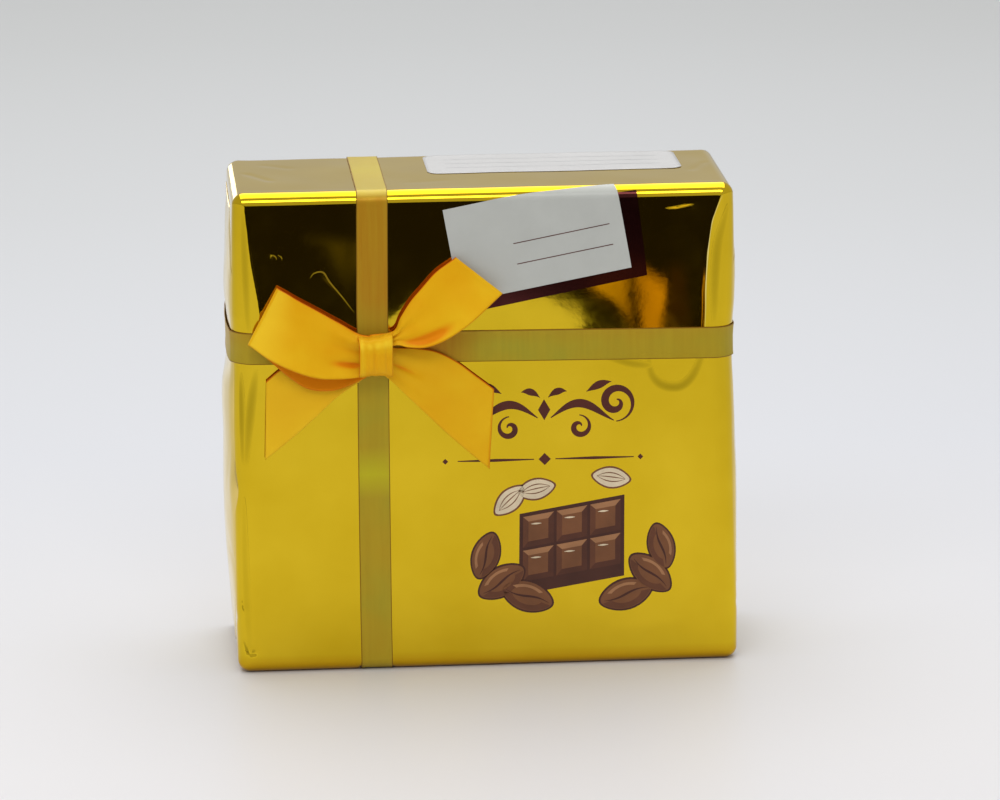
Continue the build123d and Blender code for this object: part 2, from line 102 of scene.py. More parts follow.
def add_mesh(name, vertices, faces, shade_smooth=True):
    """A mesh from plain lists."""
    mesh = bpy.data.meshes.new(name)
    mesh.from_pydata([tuple(v) for v in np.asarray(vertices, float)], [], [tuple(f) for f in faces])
    mesh.validate()
    mesh.update()
    if shade_smooth:
        mesh.shade_smooth()
    return mesh


def place_object(name, data):
    """An object in the scene with the mesh, lamp or camera that it shows."""
    piece = bpy.data.objects.new(name, data)
    bpy.context.scene.collection.objects.link(piece)
    return piece


def add_object(name, vertices, faces, shade_smooth=True):
    """A mesh object from plain lists."""
    return place_object(name, add_mesh(name, vertices, faces, shade_smooth))


def grid_faces(rows, columns, start=0, loop=False):
    """Quads of a grid that is stored row by row; loop joins the last column to the first."""
    faces = []
    for r in range(start, start + (rows - 1) * columns, columns):
        for c in range(columns if loop else columns - 1):
            n = (c + 1) % columns
            faces.append((r + c, r + n, r + columns + n, r + columns + c))
    return faces


def flip(faces):
    """The same faces seen from the other side."""
    return [tuple(reversed(f)) for f in faces]


def weld(piece, distance):
    """Joins vertices that lie in one place."""
    work = bmesh.new()
    work.from_mesh(piece.data)
    bmesh.ops.remove_doubles(work, verts=work.verts, dist=distance)
    bmesh.ops.recalc_face_normals(work, faces=work.faces)
    work.to_mesh(piece.data)
    work.free()
    piece.data.shade_smooth()


def solidify(piece, thickness, offset=0.0):
    """Gives a surface its thickness: to both sides, or with an offset of -1 inwards and 1 outwards."""
    modifier = piece.modifiers.new("thickness", "SOLIDIFY")
    modifier.thickness = thickness
    modifier.offset = offset
    modifier.use_even_offset = False
    return piece


def keep_attribute(piece, name, values):
    """Stores a vector at each vertex for the material to read."""
    attribute = piece.data.attributes.new(name, "FLOAT_VECTOR", "POINT")
    attribute.data.foreach_set("vector", np.asarray(values, np.float32).ravel())


def dress(piece, material, slot, body, *nodes):
    """Gives a piece its material and body, and hides the CAD nodes that it stands for. The slot is not used.
    """
    piece.data.materials.clear()
    piece.data.materials.append(MATERIALS[material])
    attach(piece, body)
    if nodes:
        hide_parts(*nodes)
    return piece


# The foil's surface over the box

EDGE_RADIUS = 3.0 * MM
FAR_BEHIND = 10.0
RADIUS_HEIGHTS = np.array([0, 6, 40, 74, 84, 112, 118]) * MM
VERTICAL_RADII = np.array([3.2, 3.4, 4.2, 5.2, 5.2, 3.4, 3.1]) * MM
INSET_HEIGHTS = np.array([0, 12, 34, 60, 72, 79.9, 88, 100, 112, 118]) * MM
RIGHT_INSETS = np.array([0.1, 0.0, 0.45, 0.85, 1.15, 1.25, 0.8, 0.75, 1.0, 1.2]) * MM
LEFT_INSETS = np.array([0.5, 0.3, 0.25, 0.35, 0.5, 0.6, 0.4, 0.7, 1.0, 1.2]) * MM
CROSS_SLOPE = -0.011


def cross_height(x):
    """Height of the middle of the level ribbon, which sags a little to the right."""
    return CROSS_Z + CROSS_SLOPE * x


def by_side(x, height, heights, left, right):
    """A table's value at each height, from the left or the right side's row."""
    return np.where(x < 0, np.interp(height, heights, left), np.interp(height, heights, right))


def rounded(points):
    """Sharp-box points moved to the rounded box, with the way out at each."""
    low = np.array([-HALF_WIDTH + EDGE_RADIUS, FRONT_Y + EDGE_RADIUS, EDGE_RADIUS])
    high = np.array([HALF_WIDTH - EDGE_RADIUS, FAR_BEHIND, TOP_Z - EDGE_RADIUS])
    core = np.clip(points, low, high)
    out = unit(points - core)
    place = core + EDGE_RADIUS * out
    radius = np.interp(place[:, 2], RADIUS_HEIGHTS, VERTICAL_RADII)
    side = np.where(place[:, 0] < 0, -1.0, 1.0)
    centre = np.stack([side * (HALF_WIDTH - radius), FRONT_Y + radius], axis=1)
    arm = place[:, :2] - centre
    reach = np.linalg.norm(arm, axis=1) + SMALL
    corner = (arm[:, 0] * side > 0) & (arm[:, 1] < 0) & (reach > radius)
    outward = arm / reach[:, None]
    level = np.linalg.norm(out[:, :2], axis=1)
    place[corner, :2] = centre[corner] + outward[corner] * radius[corner, None]
    out[corner, :2] = outward[corner] * level[corner, None]
    return place, out


# Ripples: length and angle, height and phase, with lengths and heights in millimetres
WAVES = [
    (31.0, 0.35, 0.030, 0.4), (23.0, 1.25, 0.022, 2.1), (17.0, 2.4, 0.012, 4.0),
    (41.0, 1.9, 0.035, 5.2), (12.5, 0.9, 0.006, 1.1), (9.0, 2.9, 0.004, 3.3),
]

# Pressed lines: two ends, a height and a width, all in millimetres
FRONT_CREASES = [
    (-51.6, 103.6, -50.2, 102.4, 0.012, 0.40), (-49.9, 103.4, -48.9, 102.4, 0.012, 0.36),
    (-40.8, 98.8, -31.4, 88.4, 0.010, 0.40), (42.0, 111.7, 52.4, 112.9, 0.020, 0.60),
    (-61.0, 18.2, -58.4, 14.8, -0.30, 0.7), (-60.6, 8.2, -58.0, 5.0, -0.30, 0.6),
    (-58.6, 5.1, -56.0, 5.6, -0.24, 0.6), (-52.0, 52.0, -40.0, 49.5, 0.03, 1.2),
    (-20.0, 21.0, -6.0, 15.0, 0.03, 1.4), (28.0, 8.0, 50.0, 10.5, 0.05, 1.2),
    (8.0, 6.5, 26.0, 5.0, 0.05, 1.2), (50.0, 30.0, 58.0, 41.0, 0.05, 1.0),
    (-57.0, 70.0, -56.0, 44.0, 0.06, 0.8), (-54.5, 73.0, -54.2, 30.0, 0.05, 0.9),
]
SIDE_CREASES = [
    (-20.0, 26.0, -9.0, 33.0, 0.30, 0.7), (-21.0, 15.0, -12.0, 8.0, 0.28, 0.7),
    (-19.0, 60.0, -14.0, 42.0, 0.16, 0.9), (-20.0, 96.0, -11.0, 104.0, 0.22, 0.8),
    (2.0, 30.0, 14.0, 52.0, 0.12, 1.2), (-6.0, 88.0, 12.0, 84.0, 0.16, 1.1),
    (8.0, 100.0, 20.0, 92.0, 0.14, 1.1), (-2.0, 70.0, 20.0, 73.0, 0.12, 1.0),
]
TOP_CREASES = [
    (-58.0, 6.0, -50.0, -8.0, 0.12, 0.9), (-54.0, 16.0, -44.0, 8.0, 0.07, 1.1),
    (-20.0, -12.0, -6.0, -9.0, 0.04, 1.2), (52.0, -6.0, 58.0, 8.0, 0.08, 0.9),
]
CREASE_SPREAD = 1.4
CREASE_END = 0.25


def waves(a, b):
    """Slack in the foil, as a few long ripples over two directions, in metres."""
    total = np.zeros_like(a)
    for length, angle, height, phase in WAVES:
        along = (a * math.cos(angle) + b * math.sin(angle)) / (length * MM)
        total += height * MM * np.sin(ROUND * along + phase)
    return total


def creases(a, b, lines):
    """Pressed lines over two directions, each of which fades out towards its ends, in metres."""
    total = np.zeros_like(a)
    for a0, b0, a1, b1, height, width in lines:
        start = np.array([a0, b0]) * MM
        run = np.array([a1 - a0, b1 - b0]) * MM
        share = ((a - start[0]) * run[0] + (b - start[1]) * run[1]) / np.linalg.norm(run) ** 2
        held = np.clip(share, 0, 1)
        off = np.hypot(a - start[0] - held * run[0], b - start[1] - held * run[1])
        ends = smooth(0.0, CREASE_END, held) * smooth(1.0, 1 - CREASE_END, held)
        total += height * MM * hump(0, CREASE_SPREAD * width * MM, off) * ends
    return total


FRONT_BULGE = 0.07 * MM
FRONT_WAVES = 0.3
SHOULDER_HEIGHTS = np.array([0, 12, 40, 70, 83, 92, 101, 109, 117]) * MM
RIGHT_SHOULDER = np.array([57.0, 56.6, 56.0, 55.4, 53.6, 53.5, 54.0, 55.3, 58.4]) * MM
LEFT_SHOULDER = np.array([57.0, 56.6, 56.0, 55.2, 53.5, 54.7, 56.4, 57.5, 58.7]) * MM
SHOULDER_SLOPE = 0.034
SHOULDER_REACH = 6.5 * MM
SHOULDER_RIDGE = 0.035 * MM
RIDGE_WIDTH = 0.35 * MM
UPRIGHT_DIP = 0.012 * MM
UPRIGHT_DIP_WIDTH = 3.2 * MM
LEVEL_DIP = 0.015 * MM
LEVEL_DIP_WIDTH = 6.0 * MM


def level_distance(x, z):
    """How far a place is from the edge of the level ribbon."""
    return np.maximum(np.abs(z - cross_height(x)) - RIBBON_HALF, 0)


def front_slack(x, z, edge_x, edge_z):
    """On the front: bulges between the ribbons, dents beside them, shoulders, ripples and creases."""
    upright = np.maximum(np.abs(x - UPRIGHT_X) - RIBBON_HALF, 0)
    level = level_distance(x, z)
    bulge = FRONT_BULGE * fade(upright, 0, 22) * fade(level, 0, 20)
    bulge *= fade(edge_x, 0, 16) * fade(edge_z, 0, 14)
    beside = UPRIGHT_DIP * hump(0, UPRIGHT_DIP_WIDTH, upright) * fade(edge_z, 0, 4)
    dent = np.maximum(beside, LEVEL_DIP * hump(0, LEVEL_DIP_WIDTH, level))
    shoulder = by_side(x, z, SHOULDER_HEIGHTS, LEFT_SHOULDER, RIGHT_SHOULDER) - np.abs(x)
    drop = SHOULDER_SLOPE * np.clip(-shoulder, 0, SHOULDER_REACH)
    drop -= SHOULDER_RIDGE * hump(0, RIDGE_WIDTH, shoulder)
    ripple = FRONT_WAVES * fade(edge_x, 2, 9) * fade(edge_z, 2, 9) * waves(x, z)
    return bulge - dent - drop * fade(edge_z, 0, 3) + ripple + creases(x, z, FRONT_CREASES)


SIDE_BULGE = 0.25 * MM
SIDE_WAVES = 1.6
SIDE_CREASE_SHARE = 0.5
SIDE_DIP = 0.05 * MM
SIDE_DIP_WIDTH = 4.0 * MM
OTHER_SIDE = 0.2


def side_slack(x, y, z, edge_z):
    """On the sides: a bulge above and below the ribbon, a dent beside it, ripples and creases."""
    level = level_distance(x, z)
    faded = fade(y - FRONT_Y, 0, 14) * fade(RIM_Y - y, 0, 8) * fade(edge_z, 0, 12)
    bulge = SIDE_BULGE * faded * fade(level, 0, 14) - SIDE_DIP * hump(0, SIDE_DIP_WIDTH, level)
    ripple = SIDE_WAVES * faded * waves(y + np.sign(x) * OTHER_SIDE, z)
    return bulge + ripple - SIDE_CREASE_SHARE * creases(y, z, SIDE_CREASES)


TOP_SINK = 0.08 * MM
TOP_DIP_WIDTH = 5.0 * MM


def top_slack(x, y, edge_x):
    """On the upper side: a dent along the ribbon, ripples that fade out towards the edges, and creases."""
    dent = creases(x, y, TOP_CREASES) + TOP_SINK * hump(UPRIGHT_X, TOP_DIP_WIDTH, x)
    return (waves(x, y) - TOP_SINK) * fade(y - FRONT_Y, 0, 6) * fade(edge_x, 0, 6) - dent


TRACK_DEPTH = 0.36 * MM
FOOT_LIFT = 0.02 * MM
# Scored lines along the front's upper edge: the angle round it, the width as an angle, and the depth
SCORES = [(0.80, 0.16, 0.03 * MM), (0.28, 0.14, -0.012 * MM)]


def slack(points, out):
    """How far the foil stands off the rounded box at each sharp-box point."""
    x, y, z = points.T
    side, ahead, up = np.abs(out[:, 0]), -out[:, 1], out[:, 2]
    edge_x = HALF_WIDTH - np.abs(x)
    edge_z = np.minimum(z, TOP_Z - z)
    track = TRACK_DEPTH * fade(np.abs(x - UPRIGHT_X) - RIBBON_HALF, 0.7, 0.2) + FOOT_LIFT
    lift = np.zeros_like(x)
    for facing, amount in (
        (ahead, front_slack(x, z, edge_x, edge_z)), (side, side_slack(x, y, z, edge_z)),
        (up, top_slack(x, y, edge_x)), (-up, -track),
    ):
        lift += np.clip(facing, 0, 1) ** 2 * amount
    turn = np.arctan2(up, ahead)
    score = sum(depth * hump(angle, width, turn) for angle, width, depth in SCORES)
    return lift - np.where(side < 0.5, score, 0) * fade(edge_x, 0, 3)


def over_foil(points, lift=0.0):
    """Sharp-box points moved onto the foil, and lift above it."""
    points = np.asarray(points, float).reshape(-1, 3)
    place, out = rounded(points)
    place = place + out * np.reshape(slack(points, out) + lift, (-1, 1))
    inset = by_side(place[:, 0], place[:, 2], INSET_HEIGHTS, LEFT_INSETS, RIGHT_INSETS)
    place[:, 0] *= 1 - inset / HALF_WIDTH
    return place


# The foil cover

FOIL_THICKNESS = 0.12 * MM
EDGE_ZONE = 3.6 * MM
EDGE_STEPS = 24
DEPTH_EDGE_STEPS = 16
DEPTH_STEPS = 44
RIM_GAP = 0.3 * MM
# Where the mesh is close or wide: from, to and the step, in millimetres
X_STOPS = [(-61, -53, 0.3), (-53, -30, 0.25), (-30, 42, 0.9), (42, 52, 0.45), (52, 61, 0.3)]
Z_STOPS = [(0, 16, 0.45), (16, 86, 0.9), (86, 105, 0.25), (105, 110, 0.45), (110, 118, 0.2)]
WELD_FOIL = 1e-6
WELD_FINE = 1e-7


def edge_samples(low, high, stops):
    """Places from low to high: close together near both ends, and in between as far apart as stops say."""
    ends = np.linspace(0, EDGE_ZONE, EDGE_STEPS, endpoint=False)
    middle = []
    for start, end, step in stops:
        start = max(start * MM, low + EDGE_ZONE)
        end = min(end * MM, high - EDGE_ZONE)
        middle.append(np.linspace(start, end, max(2, round((end - start) / (step * MM))), endpoint=False))
    return np.concatenate([low + ends] + middle + [[high - EDGE_ZONE], high - ends[::-1]])


def make_foil_cover():
    """Foil over the lid's five sides, turned in over the rim."""
    xs = edge_samples(-HALF_WIDTH, HALF_WIDTH, X_STOPS)
    zs = edge_samples(0.0, TOP_Z, Z_STOPS)
    near = np.linspace(FRONT_Y, FRONT_Y + EDGE_ZONE, DEPTH_EDGE_STEPS, endpoint=False)
    ys = np.concatenate([near, np.linspace(FRONT_Y + EDGE_ZONE, RIM_Y - RIM_GAP, DEPTH_STEPS)])
    vertices, faces = [], []
    for rows, columns, place, turned in (
        (zs, xs, lambda z, x: spots(x, FRONT_Y, z), False),
        (ys, zs, lambda y, z: spots(-HALF_WIDTH, y, z), False),
        (ys, zs, lambda y, z: spots(HALF_WIDTH, y, z), True),
        (ys, xs, lambda y, x: spots(x, y, TOP_Z), False),
        (ys, xs, lambda y, x: spots(x, y, 0.0), True),
    ):
        quads = grid_faces(len(rows), len(columns), len(vertices))
        row_values, column_values = np.meshgrid(rows, columns, indexing="ij")
        vertices.extend(over_foil(place(row_values.ravel(), column_values.ravel())))
        faces.extend(flip(quads) if turned else quads)
    loops, count = rim_loops(rim_outline(xs, zs), ys[-1])
    faces.extend(grid_faces(len(loops), count, len(vertices), loop=True))
    vertices.extend(np.concatenate(loops))
    cover = add_object("gold_foil_cover", vertices, faces)
    weld(cover, WELD_FOIL)
    return solidify(cover, FOIL_THICKNESS, -1.0)


def rim_outline(xs, zs):
    """The rim's corners and edges on the sharp box, once round from the lower left."""
    left = [(-HALF_WIDTH, z) for z in zs]
    upper = [(x, TOP_Z) for x in xs[1:]]
    right = [(HALF_WIDTH, z) for z in zs[-2::-1]]
    lower = [(x, 0.0) for x in xs[-2:0:-1]]
    return np.array(left + upper + right + lower)


# The turned edge: inside the lid, how far in each loop lies, and how it waves
INNER_HALF_WIDTH = BASE_HIGH.x + 0.75 * MM
INNER_LOW_Z = 2.0 * MM
INNER_RADIUS = 1.4 * MM
TURN_IN = 10.0 * MM
RIM_FOLD = [(0.03, 0.20), (0.10, 0.28), (0.22, 0.30), (0.5, 0.27), (0.78, 0.30), (0.92, 0.27), (0.98, 0.18)]
TURNED_SHARES = [0.02, 0.1, 0.3, 0.5, 0.75, 0.9, 1.0]
RIM_RIPPLES = [(0.04 * MM, 0.37), (0.03 * MM, 0.91)]
TORN_EDGE = 8


def rim_loops(outline, last_y):
    """The foil's turned edge as loops of places: over the board's rim and back inside the lid."""
    x, z = outline.T
    count = len(outline)
    outer = over_foil(spots(x, last_y, z))
    inner_x = x / HALF_WIDTH * INNER_HALF_WIDTH
    inner_z = MIDDLE_Z + (z - MIDDLE_Z) / MIDDLE_Z * (MIDDLE_Z - INNER_LOW_Z)
    core_x = np.clip(inner_x, -INNER_HALF_WIDTH + INNER_RADIUS, INNER_HALF_WIDTH - INNER_RADIUS)
    core_z = np.clip(inner_z, INNER_LOW_Z + INNER_RADIUS, TOP_Z - INNER_LOW_Z - INNER_RADIUS)
    arm = unit(np.stack([inner_x - core_x, inner_z - core_z], 1))
    inner = spots(core_x + INNER_RADIUS * arm[:, 0], last_y, core_z + INNER_RADIUS * arm[:, 1])
    ripple = sum(height * np.sin(np.arange(count) * pace) for height, pace in RIM_RIPPLES)
    loops = [outer]
    for share, back in RIM_FOLD:
        loop = outer * (1 - share) + inner * share
        loop[:, 1] = last_y + back * MM
        loops.append(loop)
    for share in TURNED_SHARES:
        loop = inner + spots(arm[:, 0] * ripple * share, -share * TURN_IN, arm[:, 1] * ripple * share)
        loops.append(loop)
    loops[-1][:, 1] += TORN_EDGE * ripple
    return loops, count


FLAP_END = 5.0 * MM
FLAP_HEIGHTS = np.array([5, 14, 28, 48, 66, 80, 96, 108, 113]) * MM
LEFT_FLAP_BULGE = np.array([0.0, 0.4, 1.2, 1.9, 1.9, 1.2, 1.0, 0.5, 0.0]) * MM
RIGHT_FLAP_BULGE = np.array([0.0, 0.5, 0.9, 1.1, 0.8, 0.3, 0.7, 0.8, 0.0]) * MM
FLAP_FADE = 14.0 * MM
FLAP_NEAR = 3.2 * MM
FLAP_DRAWN_BACK = 10.0 * MM
FLAP_BEHIND = 0.9 * MM
FLAP_POINT = 45.0 * MM
FLAP_POINT_REACH = 1.7 * MM
FLAP_POINT_WIDTH = 4.5 * MM
FLAP_THICKNESS = 0.08 * MM
FLAP_ROWS, FLAP_COLUMNS = 90, 30


def flap_span(side, z):
    """Where the folded end starts and stops along the depth at a height."""
    ease = min(1.0, (z - FLAP_END) / FLAP_FADE, (TOP_Z - FLAP_END - z) / FLAP_FADE)
    near = FRONT_Y + FLAP_NEAR + FLAP_DRAWN_BACK * (1 - ease)
    near += (0.5 * math.sin(z / (9.5 * MM) + side) + 0.3 * math.sin(z / (4.3 * MM))) * MM
    if side < 0:
        near -= FLAP_POINT_REACH * hump(FLAP_POINT, FLAP_POINT_WIDTH, z)
    return near, RIM_Y - FLAP_BEHIND


def flap_swell(side, z, share):
    """How far the folded end stands off at a share of its depth; the level ribbon holds it down."""
    bulge = np.interp(z, FLAP_HEIGHTS, LEFT_FLAP_BULGE if side < 0 else RIGHT_FLAP_BULGE)
    bulge *= 1 + 0.10 * math.sin(z / (8 * MM) + 2 * side)
    held = 0.55 + 0.45 * float(fade(abs(z - cross_height(side * HALF_WIDTH)), 5, 12))
    return bulge * held * math.sin(math.pi * min(1.0, 1.15 * max(share, 0.0)) ** 0.8)


def make_flap(side):
    """The foil's folded end on one side of the lid, which comes up smoothly out of the front corner."""
    heights = np.linspace(FLAP_END, TOP_Z - FLAP_END, FLAP_ROWS)
    shares = np.linspace(0, 1, FLAP_COLUMNS) ** 1.3
    points, lifts = [], []
    for z in heights:
        near, far = flap_span(side, z)
        for share in shares:
            points.append((side * HALF_WIDTH, near + (far - near) * share, z))
            curl = 0.015 * math.sin(z / (5 * MM) + 9 * share)
            sunk = 0.12 * float(smooth(0.06, 0.0, share))
            lifts.append((0.04 + curl - sunk) * MM + flap_swell(side, z, share))
    faces = grid_faces(len(heights), len(shares))
    name = "foil_flap_left" if side < 0 else "foil_flap_right"
    flap = add_object(name, over_foil(points, np.array(lifts)), flip(faces) if side < 0 else faces)
    return solidify(flap, FLAP_THICKNESS, 1.0)


# Flat ribbons

RIBBON_COLUMNS = np.array([-1.0, -0.96, -0.88, -0.6, -0.2, 0.2, 0.6, 0.88, 0.96, 1.0])
RIBBON_THICKNESS = 0.20 * MM
RIBBON_RIM_GAP = 0.4 * MM
EDGE_BEAD = 0.05 * MM
MIDDLE_DIP = 0.03 * MM
# Rows of an end that turns over the rim and runs back inside the lid: how far in, and how far behind the rim
TUCK = [
    (0.0, 0.15), (0.25, 0.24), (1.0, 0.24), (1.9, 0.24), (2.5, 0.15),
    (2.9, -0.3), (2.9, -2.0), (2.9, -4.5), (2.9, -7.0), (2.9, -9.0),
]


def tucked_end(centre, across, lift, inward):
    """The tucked rows that follow on from one end of a ribbon's run."""
    row = over_foil(centre + across * (RIBBON_COLUMNS * RIBBON_HALF)[:, None], lift)
    rows = []
    for step, back in TUCK:
        turned = row + inward * step * MM
        turned[:, 1] = RIM_Y + back * MM
        rows.append(turned)
    return np.array(rows)


def run_round(low, high, bend, deep, short, long):
    """Places along the front and in depth, for a ribbon that runs round the front and two sides of the lid.

    low and high are the front's ends, bend is the length of close steps on both sides of its edges, and the
    counts are of steps along the depth, in a bend and along the front.
    """
    ys = np.linspace(RIM_Y - RIBBON_RIM_GAP, FRONT_Y + bend, deep)
    going = np.linspace(bend, 0, short, endpoint=False)[1:]
    coming = np.linspace(0, bend, short, endpoint=False)
    middle = np.linspace(low + bend, high - bend, long)
    start, end = [low] * (deep + short - 1), [high] * (deep + short)
    along = np.concatenate([start, low + coming, middle, high - going, end])
    front = [FRONT_Y] * (2 * short - 1 + long)
    back = np.concatenate([ys, FRONT_Y + going, front, FRONT_Y + coming, ys[::-1]])
    return along, back


def ribbon_strip(name, centre, across, inward, lifts):
    """A flat ribbon over the foil, from its run, the ways across it and into the lid, and its lifts."""
    across, inward = np.array(across), np.array(inward)
    points = centre[:, None, :] + across * (RIBBON_COLUMNS * RIBBON_HALF)[None, :, None]
    bead = EDGE_BEAD * (np.abs(RIBBON_COLUMNS) > 0.9) - MIDDLE_DIP * (np.abs(RIBBON_COLUMNS) < 0.7)
    count = len(RIBBON_COLUMNS)
    run = over_foil(points, (lifts[:, None] + bead).ravel()).reshape(len(centre), count, 3)
    start = tucked_end(centre[0], across, lifts[0], inward)[::-1]
    end = tucked_end(centre[-1], across, lifts[-1], -inward)
    rows = np.concatenate([start, run, end])
    length = np.concatenate([[0], np.cumsum(np.linalg.norm(np.diff(rows[:, count // 2], axis=0), axis=1))])
    strip = add_object(name, rows.reshape(-1, 3), grid_faces(len(rows), count))
    keep_attribute(strip, "strip", spots(np.tile(RIBBON_COLUMNS, len(rows)), np.repeat(length, count), 0.0))
    return solidify(strip, RIBBON_THICKNESS)


UPRIGHT_LIFT = 0.16 * MM
CROSSING_LIFT = 0.26 * MM
CROSSING_WIDTH = 5.5 * MM
LEVEL_LIFT = 0.15 * MM
ON_FLAP_LIFT = 0.16 * MM
OVER_FLAP = 1.12


def make_upright_ribbon():
    """Up the front, over the top and under the box; it rides over the level ribbon."""
    along, back = run_round(0.0, TOP_Z, 3 * MM, 40, 12, 130)
    crossing = hump(cross_height(UPRIGHT_X), CROSSING_WIDTH, along) * (np.abs(back - FRONT_Y) < SMALL)
    lifts = UPRIGHT_LIFT + CROSSING_LIFT * crossing
    return ribbon_strip("gold_ribbon_upright", spots(UPRIGHT_X, back, along), (1.0, 0, 0), (0, 0, 1.0), lifts)


def make_cross_ribbon():
    """Round the front and both sides, over the folded ends."""
    along, back = run_round(-HALF_WIDTH, HALF_WIDTH, 6 * MM, 34, 18, 120)
    centre = spots(along, back, cross_height(along))
    lifts = []
    for x, y, z in centre:
        side = math.copysign(1, x)
        near, far = flap_span(side, z)
        on_flap = ON_FLAP_LIFT + OVER_FLAP * flap_swell(side, z, (y - near) / (far - near))
        lifts.append(LEVEL_LIFT + float(fade(y - FRONT_Y, 1, 5)) * on_flap)
    return ribbon_strip("gold_ribbon_level", centre, (0, 0, -1.0), (1.0, 0, 0), np.array(lifts))


# The satin bow. Its rows hold, in millimetres from the middle of the knot: the upper rail's right and up,
# the lower rail's right and up, and how far each rail stands out from the front of the box.

LEFT_LOOP_FRONT = [
    (1.2, 3.9, 1.2, -4.1, 3.6, 4.2), (-3.4, 4.4, -3.5, -5.4, 3.2, 4.6), (-8.1, 7.1, -8.4, -5.6, 2.6, 5.9),
    (-13.5, 10.3, -13.9, -5.1, 2.2, 7.0), (-18.0, 12.9, -19.4, -3.3, 2.0, 7.2),
    (-20.6, 14.6, -25.0, -0.7, 1.8, 6.0), (-22.3, 15.6, -29.6, 2.4, 1.7, 4.0),
]
LEFT_LOOP_BACK = [
    (-22.2, 15.5, -29.5, 2.2, 1.2, 2.9), (-20.3, 14.2, -25.8, -0.9, 1.1, 2.7),
    (-17.4, 12.2, -20.6, -5.6, 1.1, 2.5), (-13.0, 9.6, -15.8, -8.7, 1.1, 2.4),
    (-8.2, 6.6, -9.8, -9.1, 1.3, 2.4), (-3.6, 3.6, -4.2, -7.0, 2.0, 2.6), (1.2, 3.0, 1.2, -4.0, 2.6, 3.1),
]
RIGHT_LOOP_FRONT = [
    (-1.2, 4.2, -1.2, -1.0, 3.4, 4.2), (4.4, 4.9, 4.4, 2.0, 2.9, 4.4), (6.3, 8.3, 8.0, 1.6, 2.5, 5.3),
    (8.6, 12.0, 12.1, 1.7, 2.2, 6.3), (11.5, 15.4, 16.9, 3.5, 2.0, 6.6), (14.8, 19.0, 22.8, 7.3, 1.8, 6.2),
    (18.9, 21.9, 29.9, 13.2, 1.7, 4.0),
]
RIGHT_LOOP_BACK = [
    (18.8, 21.8, 29.8, 13.1, 1.2, 2.9), (14.9, 18.8, 23.6, 9.0, 1.1, 2.5), (11.6, 15.2, 18.6, 6.2, 1.1, 2.2),
    (8.7, 11.8, 14.0, 4.2, 1.1, 2.0), (6.4, 8.0, 9.4, 3.0, 1.3, 2.0), (4.4, 4.4, 4.4, 2.2, 2.0, 2.5),
    (-1.2, 3.0, -1.2, -1.2, 2.6, 3.1),
]
LEFT_TAIL = [
    (1.0, 3.2, 1.0, -3.4, 1.7, 1.7), (-3.6, 1.4, -3.8, -7.4, 1.2, 1.3), (-9.4, -0.2, -9.0, -11.0, 0.9, 1.0),
    (-15.6, -1.6, -15.2, -16.7, 0.8, 0.9), (-21.8, -3.6, -21.3, -21.9, 0.9, 1.1),
    (-26.0, -6.8, -26.6, -26.0, 1.1, 1.3),
]
RIGHT_TAIL = [
    (-1.0, 2.2, -1.0, -3.4, 1.7, 1.7), (4.4, 0.7, 3.6, -7.2, 1.3, 1.2), (9.2, 0.4, 7.4, -11.1, 1.0, 0.9),
    (14.5, -0.5, 11.6, -15.3, 0.9, 0.8), (19.5, -3.1, 16.6, -20.3, 0.9, 0.9),
    (23.9, -6.5, 21.6, -24.9, 1.0, 1.1), (28.5, -10.1, 27.2, -29.7, 1.1, 1.3),
]
# Darts pressed into the satin by the knot: share across, half-width of that, reach where it starts, is
# deepest and ends, and depth, in millimetres where not shares
LEFT_LOOP_DART = (0.73, 0.055, 3.0, 5.0, 12.0, 0.55)
RIGHT_LOOP_DART = (0.85, 0.085, 5.0, 10.5, 18.0, 0.66)
LEFT_TAIL_DART = (0.35, 0.080, 2.5, 6.0, 13.0, 0.25)
RIGHT_TAIL_DART = (0.50, 0.060, 2.5, 6.0, 13.0, 0.30)
# How strong the painted highlight is on a loop towards its fold, and on a tail along its length
LEFT_LOOP_HIGHLIGHT, RIGHT_LOOP_HIGHLIGHT = 0.65, 0.12
LEFT_TAIL_HIGHLIGHT, RIGHT_TAIL_HIGHLIGHT = 0.45, 0.25
# Painted shade at a tail's cut end, and a painted highlight where the value is below zero
LEFT_CUT_SHADE, RIGHT_CUT_SHADE = -0.4, 0.7

SATIN_THICKNESS = 0.32 * MM
SATIN_COLUMNS = 33
# Gathers across the satin, as waves: how many half waves, the phase and the share
GATHER_WAVES = [(5, 0.0, 0.55), (3, 0.6, 0.45)]
# Gathers near the knot: their depth and how far out they reach, in millimetres
LOOP_GATHERS = [(0.80, 7.0), (0.10, 20.0)]
TAIL_GATHERS = [(0.28, 8.0), (0.07, 30.0)]
BACK_GATHERS = 0.5
DART_SHADE = 2.9
BACK_SHADE = 0.8
LAYER_STEPS = 46
FOLD_STEPS = 13
FOLD_DEPTH = 0.8
TAIL_STEPS = 52
NO_HEM = 0.95


def spread(table, count):
    """Rows of a table, drawn out into count even steps along a smooth curve."""
    table = np.array(table, float)
    last = len(table) - 1
    padded = np.vstack([2 * table[0] - table[1], table, 2 * table[-1] - table[-2]])
    rows = []
    for t in np.linspace(0, last, count):
        i = min(int(t), last - 1)
        f = t - i
        p0, p1, p2, p3 = padded[i:i + 4]
        square = (2 * p0 - 5 * p1 + 4 * p2 - p3) * f ** 2
        cube = (3 * p1 - p0 - 3 * p2 + p3) * f ** 3
        rows.append(0.5 * (2 * p1 + (p2 - p0) * f + square + cube))
    return np.array(rows)


def gathered(rows, gathers):
    """How deep the gathers are in each row."""
    reach = np.abs(rows[:, 0] + rows[:, 2]) / 2
    return sum(depth * hump(0, far, reach) for depth, far in gathers)


